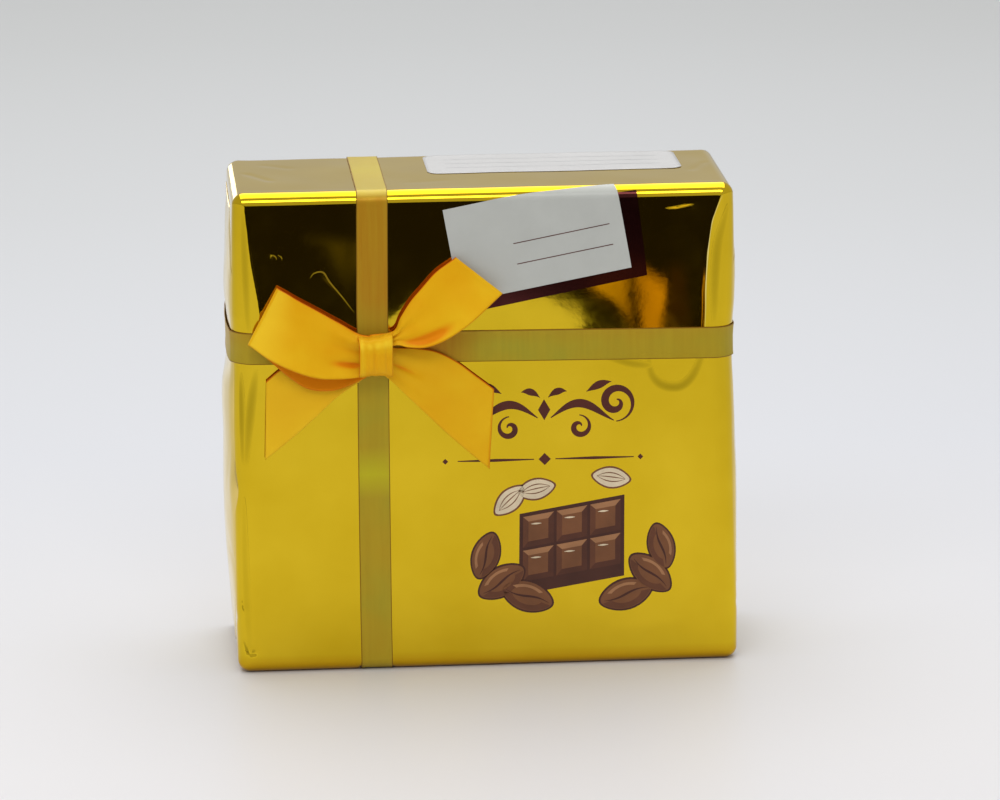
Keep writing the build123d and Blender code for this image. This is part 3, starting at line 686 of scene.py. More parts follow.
def satin_strip(name, rows, pleats, dart, shades, hem=1.0):
    """A satin ribbon between two rails, and its length, from the gathers' depth and each row's painted shade
    or highlight.

    The lower rail's edge colour shows only with a hem of 1.
    """
    across = np.linspace(0, 1, SATIN_COLUMNS)
    gather = sum(size * np.cos(across * math.pi * count + phase) for count, phase, size in GATHER_WAVES)
    share, half, start, deepest, end, depth = dart
    middle = SATIN_COLUMNS // 2
    points, marks, travelled = [], [], 0.0
    for row, pleat, shade in zip(rows, pleats, shades):
        upper = np.array([row[0], -row[4], row[1]])
        lower = np.array([row[2], -row[5], row[3]])
        line = upper * (1 - across[:, None]) + lower * across[:, None]
        reach = abs(row[0] + row[2]) / 2
        dent = depth * hump(share, half, across) * smooth(start, deepest, reach) * smooth(end, deepest, reach)
        line[:, 1] += gather * pleat + dent * (1 - shade)
        if points:
            travelled += np.linalg.norm(line[middle] - points[-1][middle])
        points.append(line)
        # Painted shade from the gathers and the dart, with the row's own value: painted shade above zero,
        # painted highlight below
        shade_and_sheen = np.clip(np.maximum(pleat * (gather - 0.1), 0) + DART_SHADE * dent + shade, -1, 1)
        marks.append(spots(np.minimum(across * 2 - 1, hem), travelled * MM, shade_and_sheen))
    knot = np.array([KNOT_MIDDLE[0], FRONT_Y, KNOT_MIDDLE[2]])
    piece = add_object(name, np.concatenate(points) * MM + knot, grid_faces(len(rows), SATIN_COLUMNS))
    keep_attribute(piece, "strip", np.concatenate(marks))
    weld(piece, WELD_FINE)
    return solidify(piece, SATIN_THICKNESS), travelled * MM


def make_loop(name, front_rows, back_rows, dart, pale):
    """A loop of the bow: out along the front layer, round the fold, and back behind it."""
    front, back = spread(front_rows, LAYER_STEPS), spread(back_rows, LAYER_STEPS)
    way = front[-1][:4] - front[-4][:4]
    outward = (way[:2] + way[2:]) / np.linalg.norm(way[:2] + way[2:])
    fold = []
    for turn in np.linspace(0, math.pi, FOLD_STEPS)[1:-1]:
        share = (1 - math.cos(turn)) / 2
        row = front[-1] * (1 - share) + back[0] * share
        row[:4] += np.tile(outward * FOLD_DEPTH * math.sin(turn), 2)
        fold.append(row)
    rows = np.vstack([front, fold, back])
    pleats = gathered(rows, LOOP_GATHERS)
    pleats[-LAYER_STEPS:] *= BACK_GATHERS
    order = np.arange(len(rows))
    # Painted shade on the back layer; the pale share paints a highlight on the front layer towards the fold
    shades = BACK_SHADE * smooth(LAYER_STEPS + 6, LAYER_STEPS + 16, order)
    shades -= pale * smooth(0.55 * LAYER_STEPS, LAYER_STEPS, order) * (order <= LAYER_STEPS)
    return satin_strip(name, rows, pleats, dart, shades)


def make_tail(name, table, dart, pale, cut_shade):
    """A tail of the bow, with its slanted cut end."""
    rows = spread(table, TAIL_STEPS)
    # The pale share paints a highlight along the tail; the cut end gets its own painted shade or highlight
    shades = [-pale] * (TAIL_STEPS - 1) + [cut_shade]
    return satin_strip(name, rows, gathered(rows, TAIL_GATHERS), dart, shades, NO_HEM)


KNOT_DROP = 0.6 * MM
KNOT_SLOPE = 0.06
KNOT_CORNERS = 0.62
KNOT_AROUND = 72
KNOT_ALONG = 31
KNOT_SHADE = 0.22
# Folds along the band: depth in millimetres, pace, phase, and how they lean as they go round
KNOT_FOLDS = [(0.16, 9.5, 0.0, 0.7), (0.10, 17.0, 1.3, 1.0)]


def make_knot():
    """The band round the bow's middle, bulged and drawn into soft gathers."""
    (x, y, z), (half_x, half_y, half_z) = KNOT_MIDDLE, KNOT_HALF
    points, marks = [], []
    for u in np.linspace(-1, 1, KNOT_ALONG):
        deep = half_y * 0.96 * (1 - 0.16 * u ** 4)
        high = half_z * 0.90 * (1 - 0.10 * (1 - u * u))
        for k in range(KNOT_AROUND):
            turn = ROUND * k / KNOT_AROUND
            c, s = math.cos(turn), math.sin(turn)
            folds = (size * math.cos(u * pace + phase + lean * s) for size, pace, phase, lean in KNOT_FOLDS)
            fold = MM * sum(folds)
            right = u * half_x * (0.97 + 0.05 * s * s)
            back = math.copysign(abs(c) ** KNOT_CORNERS, c) * deep + fold * 0.9 * max(0.0, -c)
            up = math.copysign(abs(s) ** KNOT_CORNERS, s) * high + fold * 0.35 * s
            up += KNOT_SLOPE * right * (1 + s) - KNOT_DROP
            points.append((x + right, y + back, z + up))
            # Painted highlight on the band's upper part and near its left end, over the slight painted shade
            # of KNOT_SHADE
            sheen = hump(0.52, 0.28, s) * (0.75 + 0.30 * u + 0.15 * math.sin(u * 13))
            marks.append((u, turn * half_z, KNOT_SHADE - sheen - 0.5 * hump(-0.80, 0.14, u)))
    band = add_object("satin_bow_knot", points, flip(grid_faces(KNOT_ALONG, KNOT_AROUND, loop=True)))
    keep_attribute(band, "strip", marks)
    return solidify(band, SATIN_THICKNESS, -1.0)


# Materials

class Look:
    """A Principled material, and short ways to add nodes to it."""

    def __init__(self, name, color, roughness, metallic=0.0, **inputs):
        self.name = name
        self.material = bpy.data.materials.new(name)
        self.material.use_nodes = True
        self.tree = self.material.node_tree
        self.sockets = self.tree.nodes["Principled BSDF"].inputs
        plain = {"Base_Color": (*color, 1), "Roughness": roughness, "Metallic": metallic, **inputs}
        for key, value in plain.items():
            self.sockets[key.replace("_", " ")].default_value = value

    def use(self, socket, source):
        """Links a node's output to one of the shader's sockets."""
        self.tree.links.new(source, self.sockets[socket])

    def used(self, socket):
        """The output that one of the shader's sockets is linked to."""
        return self.sockets[socket].links[0].from_socket

    def add(self, kind, inputs, **settings):
        """Adds a node, each of whose inputs is a plain value or a node's output, and gives its outputs."""
        node = self.tree.nodes.new("ShaderNode" + kind)
        for key, value in settings.items():
            setattr(node, key, value)
        for key, value in inputs.items():
            if isinstance(value, bpy.types.NodeSocket):
                self.tree.links.new(value, node.inputs[key])
            else:
                node.inputs[key].default_value = value
        return node.outputs

    def place(self, scale=(1, 1, 1)):
        """The place on the piece, in metres times scale."""
        return self.add("Mapping", {"Vector": self.add("TexCoord", {})["Object"], "Scale": scale})["Vector"]

    def noise(self, scale, detail=4.0, roughness=0.55, distortion=0.0, stretch=(1, 1, 1)):
        """Noise over the piece."""
        inputs = {"Vector": self.place(stretch), "Scale": scale, "Detail": detail, "Roughness": roughness}
        return self.add("TexNoise", {**inputs, "Distortion": distortion})["Fac"]

    def split(self, vector):
        """The X, Y and Z of a vector."""
        return self.add("SeparateXYZ", {"Vector": vector})

    def kept(self, name):
        """The outputs that read what is stored on the piece."""
        return self.add("Attribute", {}, attribute_name=name)

    def ramp(self, source, *stops):
        """Colours along a value."""
        color = self.add("ValToRGB", {"Fac": source})["Color"]
        elements = color.node.color_ramp.elements
        for _ in stops[2:]:
            elements.new(0.5)
        for element, (position, tint) in zip(elements, stops):
            element.position = position
            element.color = (*tint, 1)
        return color

    def between(self, source, low, high, out_low, out_high):
        """A value moved from one range to another, and held at that one's ends."""
        inputs = {"Value": source, "From Min": low, "From Max": high, "To Min": out_low, "To Max": out_high}
        return self.add("MapRange", inputs)["Result"]

    def math(self, operation, *values):
        """The result of a sum, product or like step on values."""
        return self.add("Math", dict(enumerate(values)), operation=operation)["Value"]

    def threads(self, source, pace):
        """A wave along a value, with pace of them in each unit of it."""
        return self.math("SINE", self.math("MULTIPLY", source, ROUND * pace))

    def mix(self, share, first, second):
        """A blend of two colours, each a plain one or a node's output."""
        first, second = ((*color, 1) if isinstance(color, tuple) else color for color in (first, second))
        return self.add("Mix", {"Factor": share, 6: first, 7: second}, data_type="RGBA")[2]

    def paint(self, source, *stops):
        """Gives the surface colours along a value."""
        self.use("Base Color", self.ramp(source, *stops))

    def tint(self, share, color):
        """Blends a colour over the surface's own."""
        self.use("Base Color", self.mix(share, self.used("Base Color"), color))

    def bump(self, height, distance, strength):
        """Small relief, on top of any that is there."""
        inputs = {"Strength": strength, "Distance": distance, "Height": height}
        if self.sockets["Normal"].is_linked:
            inputs["Normal"] = self.used("Normal")
        self.use("Normal", self.add("Bump", inputs)["Normal"])


LID_GOLD = ((0.68, 0.463, 0.014), (0.76, 0.53, 0.022))


def gold_foil(name, tint=LID_GOLD, rough=(0.024, 0.065), crinkle=(95.0, 0.09)):
    """Mirror-bright metallised paper, with faint handling haze and a crinkle of some scale and strength."""
    look = Look(name, tint[0], 0.1, 1.0)
    look.paint(look.noise(38.0, 3.0), (0.3, tint[0]), (0.7, tint[1]))
    look.use("Roughness", look.between(look.noise(160.0, 5.0, 0.6), 0.35, 0.75, *rough))
    look.bump(look.noise(620.0, 3.0, 0.6), 0.006 * MM, 0.25)
    look.bump(look.noise(crinkle[0], 3.0, 0.5, 0.6), 0.05 * MM, crinkle[1])
    return look


def lid_foil():
    """The lid's foil, with painted shade: browner close to the table, where it mirrors the floor's contact
    shadow.
    """
    look = gold_foil("gold_foil")
    # Painted shade: a brown tint over the lowest few millimetres of the lid
    foot = look.between(look.split(look.place())["Z"], 0.2 * MM, 4.5 * MM, 0.75, 0.0)
    look.tint(foot, (0.50, 0.23, 0.004))
    return look


def toned_foil(name, color, metallic=1.0):
    """The foil, going over to a colour where the piece's tone is high: painted shade and highlights along its
    folds.
    """
    look = gold_foil(name)
    tone = look.kept("tone")["Fac"]
    look.tint(tone, color)
    if metallic < 1:
        look.use("Metallic", look.between(tone, 0.0, 0.8, 1.0, metallic))
        look.sockets["Specular IOR Level"].default_value = 0.1
    return look


def flat_ribbon():
    """Olive-gold ribbon with a darker woven edge, and painted reflections, shadow and highlights where it
    mirrors the room and the bow.
    """
    look = Look("flat_ribbon", (0.36, 0.25, 0.03), 0.36, 0.35, Specular_IOR_Level=0.5,
                Specular_Tint=(1.0, 0.80, 0.30, 1), Coat_Weight=0.12, Coat_Roughness=0.25)
    across, along, _ = look.split(look.kept("strip")["Vector"])
    right, _, up = look.split(look.place())
    broad = look.noise(42.0, 3.0)
    look.paint(broad, (0.30, (0.45, 0.285, 0.012)), (0.5, (0.42, 0.30, 0.015)), (0.7, (0.37, 0.32, 0.022)))
    # Painted light, in turn: shadow and reflection above the knot, a pale reflection on the upper side, the
    # bow's shadow and reflection beside it, and a highlight below the knot
    for value, rise, fall, strength, color in (
        (up, (0.080, 0.092), (0.116, 0.118), 0.72, (0.45, 0.175, 0.003)),
        (up, (0.1165, 0.1182), None, 0.75, (0.56, 0.47, 0.12)),
        (right, (-0.0206, -0.0186), (-0.0140, -0.0010), 0.9, (0.44, 0.125, 0.001)),
        (up, (0.043, 0.049), (0.049, 0.056), 0.75, (0.56, 0.53, 0.012)),
    ):
        share = look.between(value, *rise, 0.0, strength)
        if fall:
            share = look.math("MULTIPLY", share, look.between(value, *fall, 1.0, 0.0))
        look.tint(share, color)
    streak = look.noise(900.0, 2.0, stretch=(1, 1, 0.06))
    look.tint(look.between(streak, 0.35, 0.7, 0.0, 0.25), (0.53, 0.39, 0.02))
    look.tint(look.between(look.math("ABSOLUTE", across), 0.93, 0.97, 0.0, 1.0), (0.22, 0.105, 0.004))
    weave = look.math("MULTIPLY", look.threads(along, 1 / (0.28 * MM)), look.threads(across, 15))
    look.bump(weave, 0.010 * MM, 0.5)
    look.use("Roughness", look.between(broad, 0.3, 0.7, 0.36, 0.48))
    return look


def satin():
    """Orange-yellow satin with burnt orange edges, painted burnt orange shade in its hollows, and pale
    painted highlights.
    """
    look = Look("satin", (0.85, 0.42, 0.015), 0.36, 0.0, Specular_IOR_Level=0.5,
                Specular_Tint=(1.0, 0.62, 0.08, 1), Anisotropic=0.5)
    across, along, shade_and_sheen = look.split(look.kept("strip")["Vector"])
    broad = look.noise(70.0, 3.0)
    look.paint(broad, (0.28, (0.77, 0.37, 0.005)), (0.55, (0.80, 0.435, 0.008)), (0.78, (0.84, 0.52, 0.014)))
    warp = look.math("MULTIPLY", look.threads(across, 46), 0.6)
    weft = look.math("MULTIPLY", look.threads(along, 1 / (0.30 * MM)), 0.4)
    grain = look.math("ADD", warp, weft)
    upper = look.between(across, -0.955, -0.985, 0.0, 1.0)
    rim = look.math("MAXIMUM", upper, look.between(across, 0.96, 0.985, 0.0, 0.35))
    # In turn: weave tint, painted shade, painted highlight, and the burnt orange edges
    for share, color in (
        (look.between(grain, -1.0, 1.0, 0.0, 0.10), (0.62, 0.24, 0.004)),
        (look.between(shade_and_sheen, 0.05, 0.8, 0.0, 0.9), (0.76, 0.20, 0.002)),
        (look.between(shade_and_sheen, -0.1, -0.9, 0.0, 0.8), (0.95, 0.66, 0.035)),
        (rim, (0.62, 0.12, 0.002)),
    ):
        look.tint(share, color)
    look.bump(grain, 0.008 * MM, 0.45)
    return look


def print_ink(name, color, roughness=0.35, metallic=0.0, uneven=0.18):
    """Ink on the foil, a little uneven."""
    look = Look(name, color, roughness, metallic, Specular_IOR_Level=0.3)
    speck = look.noise(900.0, 4.0, 0.6)
    darker = tuple(c * (1 - uneven) for c in color)
    lighter = tuple(min(1.0, c * (1 + 0.6 * uneven)) for c in color)
    look.paint(look.noise(130.0, 3.0), (0.3, darker), (0.7, lighter))
    look.tint(look.between(speck, 0.5, 0.8, 0.0, 0.25), lighter)
    look.bump(speck, 0.004 * MM, 0.4)
    return look


def paper(name, color, fibre, roughness):
    """Coated paper or board with faint fibres."""
    look = Look(name, color, roughness)
    fleck = look.noise(520.0, 5.0, 0.65)
    look.paint(look.noise(60.0, 2.0), (0.3, tuple(c * 0.94 for c in color)), (0.7, color))
    look.tint(look.between(fleck, 0.45, 0.75, 0.0, 0.35), fibre)
    look.bump(fleck, 0.02 * MM, 0.5)
    return look


def chocolate():
    """Milk chocolate with chopped nuts under it."""
    look = Look("chocolate", (0.10, 0.035, 0.012), 0.38)
    lump = look.noise(260.0, 4.0)
    look.paint(lump, (0.35, (0.07, 0.022, 0.008)), (0.62, (0.14, 0.05, 0.018)), (0.8, (0.30, 0.16, 0.07)))
    look.bump(lump, 0.5 * MM, 0.8)
    return look


def tray_plastic():
    """Thin brown formed plastic, glossy with a faint pull grain."""
    look = Look("tray_plastic", (0.055, 0.022, 0.010), 0.22, 0.0, Coat_Weight=0.3)
    broad = look.noise(90.0, 3.0)
    look.paint(broad, (0.3, (0.045, 0.017, 0.008)), (0.75, (0.075, 0.031, 0.014)))
    look.use("Roughness", look.between(broad, 0.3, 0.7, 0.18, 0.32))
    look.bump(look.noise(700.0, 3.0), 0.01 * MM, 0.4)
    return look


def cup_paper():
    """Brown glassine, darker in places."""
    look = Look("cup_paper", (0.13, 0.055, 0.024), 0.5)
    fleck = look.noise(480.0, 4.0, 0.6)
    look.paint(fleck, (0.3, (0.10, 0.040, 0.017)), (0.7, (0.17, 0.075, 0.033)))
    look.bump(fleck, 0.02 * MM, 0.5)
    return look


def base_card():
    """Satin gold paper over board."""
    look = Look("base_card", (0.66, 0.46, 0.12), 0.38, 0.85)
    grain = look.noise(700.0, 4.0, 0.6, stretch=(1, 1, 0.12))
    look.paint(look.noise(45.0, 2.0), (0.3, (0.62, 0.425, 0.10)), (0.7, (0.70, 0.50, 0.15)))
    look.use("Roughness", look.between(grain, 0.3, 0.7, 0.32, 0.46))
    look.bump(grain, 0.012 * MM, 0.5)
    return look


# Prints on the foil. Their places are right and up on the front panel, in millimetres, as all widths are.
# Heights past the top edge run on over the upper side.

def decal(name, shape, lift, material):
    """A thin print that follows the foil, lifted off it."""
    places, faces = shape
    right, up = np.asarray(places, float).T * MM
    sharp = spots(right, FRONT_Y + np.maximum(up - TOP_Z, 0), np.minimum(up, TOP_Z))
    return dress(add_object(name, over_foil(sharp, lift * MM), faces), material, "gold_foil", "lid")


def quad(corners, across, down):
    """A filled four-sided print. corners run from the upper left, clockwise."""
    tl, tr, br, bl = np.array(corners, float)
    u = np.linspace(0, 1, across)[None, :, None]
    v = np.linspace(0, 1, down)[:, None, None]
    places = (tl * (1 - u) + tr * u) * (1 - v) + (bl * (1 - u) + br * u) * v
    return places.reshape(-1, 2), flip(grid_faces(down, across))


def stroke(line, widths):
    """A pen stroke along a line of places, with a width at each."""
    line = np.array(line, float)
    side = sideways(line) * (np.array(widths) / 2)[:, None]
    return np.stack([line + side, line, line - side], 1).reshape(-1, 2), flip(grid_faces(len(line), 3))


def swell(count, thick, thin=0.25):
    """Pen widths that swell in the middle of a stroke."""
    return [thin + (thick - thin) * math.sin(math.pi * t) ** 1.3 for t in np.linspace(0, 1, count)]


def pen(line, *widths):
    """A pen stroke that swells in its middle."""
    return stroke(line, swell(len(line), *widths))


def joined(shapes):
    """Several prints of one colour as one mesh."""
    places, faces, start = [], [], 0
    for shape, quads in shapes:
        places.append(np.asarray(shape, float))
        faces.extend([tuple(i + start for i in face) for face in quads])
        start += len(shape)
    return np.concatenate(places), faces


def turned(centre, tilt, x, y):
    """Places turned by tilt and moved to centre."""
    c, s = math.cos(tilt), math.sin(tilt)
    return np.stack([centre[0] + x * c - y * s, centre[1] + x * s + y * c], -1)


DISC_STEPS = 36


def disc(centre, reach, tilt, taper, inner=0.0, rings=5, span=(0.0, ROUND)):
    """A filled ellipse with tapered ends, or with an inner share and a span of angles a crescent of one."""
    closed = span[1] - span[0] == ROUND
    angles = np.linspace(*span, DISC_STEPS, endpoint=not closed)
    shares = np.linspace(inner, 1, rings)[:, None]
    x = shares * reach[0] * np.cos(angles)
    y = shares * reach[1] * np.sin(angles) * (1 - taper * (x / reach[0]) ** 2)
    return turned(centre, tilt, x, y).reshape(-1, 2), flip(grid_faces(rings, DISC_STEPS, loop=closed))


def diamond(centre, half_width, half_height):
    """A small filled diamond."""
    corners = [(-half_width, 0), (0, half_height), (half_width, 0), (0, -half_height)]
    return np.array(centre) + corners, [(0, 3, 2, 1)]


TAG_CORNERS = [(-10.1, 113.2), (31.8, 121.0), (35.6, 98.2), (-6.0, 90.6)]
TAG_SHADOW = [(-6.0, 110.0), (37.1, 117.4), (39.4, 96.2), (-4.4, 88.0)]
TAG_STEPS = (120, 96)
TAG_RULES = (0.50, 0.72)
TAG_RULE_WIDTH = 0.22


def make_tag_print():
    """Blank white tag with a dark border showing at its right and lower edges, and two ruled lines."""
    decal("tag_print_border", quad(TAG_SHADOW, *TAG_STEPS), 0.02, "maroon_foil")
    decal("tag_print_white", quad(TAG_CORNERS, *TAG_STEPS), 0.045, "tag_white")
    tl, tr, br, bl = np.array(TAG_CORNERS)
    along = np.linspace(0.36, 0.92, 30)[:, None]
    rules = []
    for share in TAG_RULES:
        start, end = tl * (1 - share) + bl * share, tr * (1 - share) + br * share
        rules.append(stroke(start + (end - start) * along, [TAG_RULE_WIDTH] * len(along)))
    decal("tag_print_rules", joined(rules), 0.065, "maroon_ink")


# Fold lines, drawn as painted shade, reflection, highlight and glint: places along each, the widest width,
# and the strength
# Painted shade along folds near both sides, and a painted olive reflection in an arc and a line on the right
SHADED_FOLDS = [
    ([(-60.6, 18.2), (-60.2, 16.4), (-58.8, 15.4)], 1.0, 0.9),
    ([(-60.2, 8.0), (-58.6, 5.6), (-56.6, 5.8)], 1.2, 0.9),
    ([(-60.2, 74.6), (-59.9, 66.0), (-59.2, 52.0)], 3.2, 0.65),
    ([(-55.4, 75.4), (-56.8, 66.0), (-58.2, 52.0)], 2.8, 0.60),
    ([(-58.4, 114.0), (-57.8, 100.0), (-57.0, 84.0)], 2.2, 0.45),
    ([(-59.0, 44.0), (-58.8, 24.0), (-58.0, 5.0)], 2.4, 0.22),
    ([(59.8, 113.0), (56.8, 104.0), (55.9, 94.0), (55.9, 84.0)], 2.6, 0.50),
    ([(39.8, 77.6), (40.2, 73.9), (40.9, 71.4), (42.6, 69.5), (45.0, 68.6), (47.7, 68.7), (49.9, 70.2),
      (51.6, 72.6), (52.9, 75.8), (53.5, 78.7)], 2.6, 0.70),
    ([(27.4, 77.2), (31.2, 76.0), (35.1, 74.8), (38.5, 74.2), (40.9, 74.1)], 2.2, 0.55),
]
# Painted shade along a long crease and two small dents
CREASE_SHADES = [
    ([(-42.2, 97.2), (-41.2, 98.6), (-39.0, 98.8), (-37.4, 96.4), (-34.4, 92.7), (-31.2, 88.4)], 0.44, 0.85),
    ([(-51.8, 102.4), (-51.2, 103.2), (-50.4, 102.8), (-50.2, 102.0)], 0.40, 0.55),
    ([(-49.8, 103.2), (-49.1, 102.8), (-48.8, 102.0)], 0.36, 0.5),
]
# A painted highlight along the fold at the right shoulder
PAINTED_HIGHLIGHTS = [([(58.7, 116.6), (55.5, 109.2), (54.2, 101.0), (53.7, 92.0), (53.8, 82.0)], 0.42, 0.9)]
# A painted glint along a short fold near the upper right
GLINT_FOLDS = [
    ([(43.9, 112.4), (46.3, 112.5), (48.7, 112.9), (51.1, 113.2)], 0.95, 0.85),
    ([(46.7, 112.7), (48.7, 112.9), (50.8, 113.3)], 0.5, 1.0),
]
FOLD_LINE_STEPS = 40
FOLD_COLUMNS = np.linspace(-1, 1, 7)


def make_fold_lines(name, lines, material):
    """Painted shade and highlights along lines where the foil is folded, each of which fades out to both
    sides and both ends.
    """
    places, faces, tones, lifts = [], [], [], []
    strength = np.sin(math.pi * np.linspace(0, 1, FOLD_LINE_STEPS)) ** 0.6
    for order, (knots, wide, most) in enumerate(lines):
        line = spread(knots, FOLD_LINE_STEPS)
        faces.extend(flip(grid_faces(FOLD_LINE_STEPS, len(FOLD_COLUMNS), len(places))))
        for place, side, strong in zip(line, sideways(line), strength):
            places.extend(place + side * c * wide / 2 * (0.3 + 0.7 * strong) for c in FOLD_COLUMNS)
            tones.extend((1 - c * c) * strong * most for c in FOLD_COLUMNS)
            lifts.extend([0.012 + 0.006 * order] * len(FOLD_COLUMNS))
    piece = decal(name, (places, faces), np.array(lifts), material)
    keep_attribute(piece, "tone", [(t, t, t) for t in tones])


FLOURISH_CENTRE = (14.2, 63.4)
RULE_HEIGHT = 51.6
RULE_ENDS = (-7.0, 36.0)
RULE_GAP = 2.6
RULE_DIAMONDS = [(14.2, 1.5), (-10.0, 0.7), (37.6, 0.7)]


def spiral(centre, radii, start_angle, turns):
    """Places along a spiral, between two radii."""
    t = np.linspace(0, 1, 60)
    angle = start_angle + turns * ROUND * t
    radius = radii[0] * (1 - t) + radii[1] * t
    return np.stack([centre[0] + radius * np.cos(angle), centre[1] + radius * np.sin(angle)], 1)


def make_flourish_print():
    """A symmetrical pen flourish, and under it a thin rule with a diamond."""
    cx, cz = FLOURISH_CENTRE
    t, s = np.linspace(0, 1, 60), np.linspace(0, 1, 30)
    shapes = []
    for side in (-1, 1):
        wave = np.stack([side * (1.6 + 15.4 * t), 2.6 * np.sin(math.pi * (1.35 * t - 0.1)) - 0.8], 1)
        leaf = np.stack([side * (10.4 + 6.2 * s), 4.6 + 2.3 * np.sin(math.pi * 0.5 * s)], 1)
        crest = np.stack([side * (1.0 + 4.6 * s), 3.4 + 4.4 * s - 3.0 * s * s], 1)
        big = spiral((side * 17.6, 1.9), (4.8, 0.6), -math.pi / 2, side * 1.45)
        small = spiral((side * 8.6, -4.0), (2.9, 0.5), math.pi / 2, -side * 1.2)
        for line, *widths in ((wave, 2.1), (big, 1.9), (small, 1.4), (leaf, 1.9, 0.1), (crest, 1.7, 0.1)):
            shapes.append(pen(line + FLOURISH_CENTRE, *widths))
    shapes.append(diamond((cx, cz + 0.4), 1.5, 2.6))
    decal("flourish_print", joined(shapes), 0.035, "maroon_ink")
    rule = []
    for low, high in ((RULE_ENDS[0], cx - RULE_GAP), (cx + RULE_GAP, RULE_ENDS[1])):
        line = [(x, RULE_HEIGHT) for x in np.linspace(low, high, 40)]
        rule.append(stroke(line, 0.22 + 0.5 * (1 - abs(2 * np.linspace(0, 1, 40) - 1))))
    rule.extend(diamond((x, RULE_HEIGHT), size, size) for x, size in RULE_DIAMONDS)
    decal("rule_print", joined(rule), 0.035, "maroon_ink")


BAR_CENTRE = (20.6, 31.2)
BAR_TILT = 0.16
BAR_LEAN = 0.18
BAR_SQUARE = 8.3
BAR_GAP = 0.35
BAR_BEVEL = 1.35
BAR_RIM = 0.55
BAR_FOOT = 2.2


def bar_place(u, v):
    """A place on the printed bar, from its own right and up."""
    return turned(BAR_CENTRE, BAR_TILT, u + BAR_LEAN * v, v)


def bar_patch(corners, steps=6):
    """A filled four-sided patch of the bar."""
    return quad([bar_place(*corner) for corner in corners], steps, steps)


def add_bar(shapes):
    """A small bar of six chocolate squares, each with lit and shaded bevels."""
    side, top = 1.5 * BAR_SQUARE + BAR_RIM, BAR_SQUARE + BAR_RIM
    foot = -top - BAR_FOOT
    shapes["bar_body"].append(bar_patch([(-side, top), (side, top), (side, foot), (-side, foot)], 16))
    t = np.linspace(0, 1, 8)
    for square in range(6):
        left = (square // 2 - 1.5) * BAR_SQUARE + BAR_GAP
        low = (square % 2 - 1) * BAR_SQUARE + BAR_GAP
        right, high = left + BAR_SQUARE - 2 * BAR_GAP, low + BAR_SQUARE - 2 * BAR_GAP
        a, b, c, d = (left, high), (right, high), (right, low), (left, low)
        e, f = (left + BAR_BEVEL, high - BAR_BEVEL), (right - BAR_BEVEL, high - BAR_BEVEL)
        g, h = (right - BAR_BEVEL, low + BAR_BEVEL), (left + BAR_BEVEL, low + BAR_BEVEL)
        for layer, corners in (
            ("light", [a, b, f, e]), ("mid", [a, e, h, d]), ("dark", [f, b, c, g]), ("dark", [h, g, c, d]),
            ("face", [e, f, g, h]),
        ):
            shapes[f"bar_{layer}"].append(bar_patch(corners))
        shapes["bar_glint"].append(pen(bar_place(e[0] + 0.6 + 2.6 * t, e[1] - 0.7 - 0.25 * t), 0.42, 0.08))


# Right, up, half length, half width and tilt of each
BEANS = [
    (3.4, 21.4, 6.6, 3.9, 0.55), (9.6, 17.6, 6.8, 4.0, -0.35), (-0.4, 28.0, 6.2, 3.6, 1.25),
    (39.6, 22.6, 6.6, 3.9, -0.75), (33.6, 17.4, 6.9, 4.0, 0.28), (42.4, 29.2, 6.0, 3.5, -1.35),
]
ALMONDS = [(5.6, 41.6, 5.2, 2.9, 0.75), (12.0, 44.2, 5.0, 2.8, 0.2), (30.4, 46.6, 5.0, 2.8, -0.15)]
BEAN_TAPER = 0.22
ALMOND_TAPER = 0.35
ALMOND_VEINS = (-0.35, 0.05, 0.42)


def add_beans(shapes):
    """Cocoa beans with a dark outline, a shaded foot, a seam and a glint."""
    u = np.linspace(-1, 1, 22)
    for x, z, a, b, tilt in BEANS:
        for layer, wide, high, *crescent in (
            ("outline", 1, 1), ("body", 0.93, 0.88),
            ("shade", 0.90, 0.84, 0.62, 3, (-2.9, -0.2)), ("glint", 0.78, 0.70, 0.76, 3, (0.9, 2.5)),
        ):
            shapes[f"bean_{layer}"].append(disc((x, z), (a * wide, b * high), tilt, BEAN_TAPER, *crescent))
        seam = turned((x, z), tilt, u * a * 0.8, 0.10 * b * np.sin(3 * u))
        shapes["bean_line"].append(pen(seam, 0.55, 0.08))


def add_almonds(shapes):
    """Pale almonds with three veins each."""
    u = np.linspace(-1, 1, 14)
    for x, z, a, b, tilt in ALMONDS:
        shapes["almond_edge"].append(disc((x, z), (a, b), tilt, ALMOND_TAPER))
        shapes["almond"].append(disc((x, z), (a * 0.9, b * 0.84), tilt, ALMOND_TAPER))
        for off in ALMOND_VEINS:
            vein = turned((x, z), tilt, u * a * 0.7, off * b * (1 - u * u))
            shapes["almond_line"].append(pen(vein, 0.26, 0.06))


# Layers of the printed motif: name, lift off the foil and ink
PICTURE = [
    ("almond_edge", 0.02, "milk"), ("almond", 0.035, "cream"), ("almond_line", 0.048, "milk"),
    ("bar_body", 0.05, "dark"), ("bar_face", 0.065, "milk"), ("bar_mid", 0.065, "warm"),
    ("bar_dark", 0.065, "deep"), ("bar_light", 0.065, "light"), ("bar_glint", 0.077, "cream"),
    ("bean_outline", 0.08, "dark"), ("bean_body", 0.095, "milk"), ("bean_shade", 0.11, "warm"),
    ("bean_line", 0.126, "dark"), ("bean_glint", 0.126, "light"),
]


def make_picture_print():
    """The printed motif: a bar, cocoa beans at both sides and three pale almonds behind."""
    shapes = {name: [] for name, _, _ in PICTURE}
    add_almonds(shapes)
    add_bar(shapes)
    add_beans(shapes)
    for name, lift, ink in PICTURE:
        decal(f"{name}_print", joined(shapes[name]), lift, f"print_{ink}")


# The label on the upper side

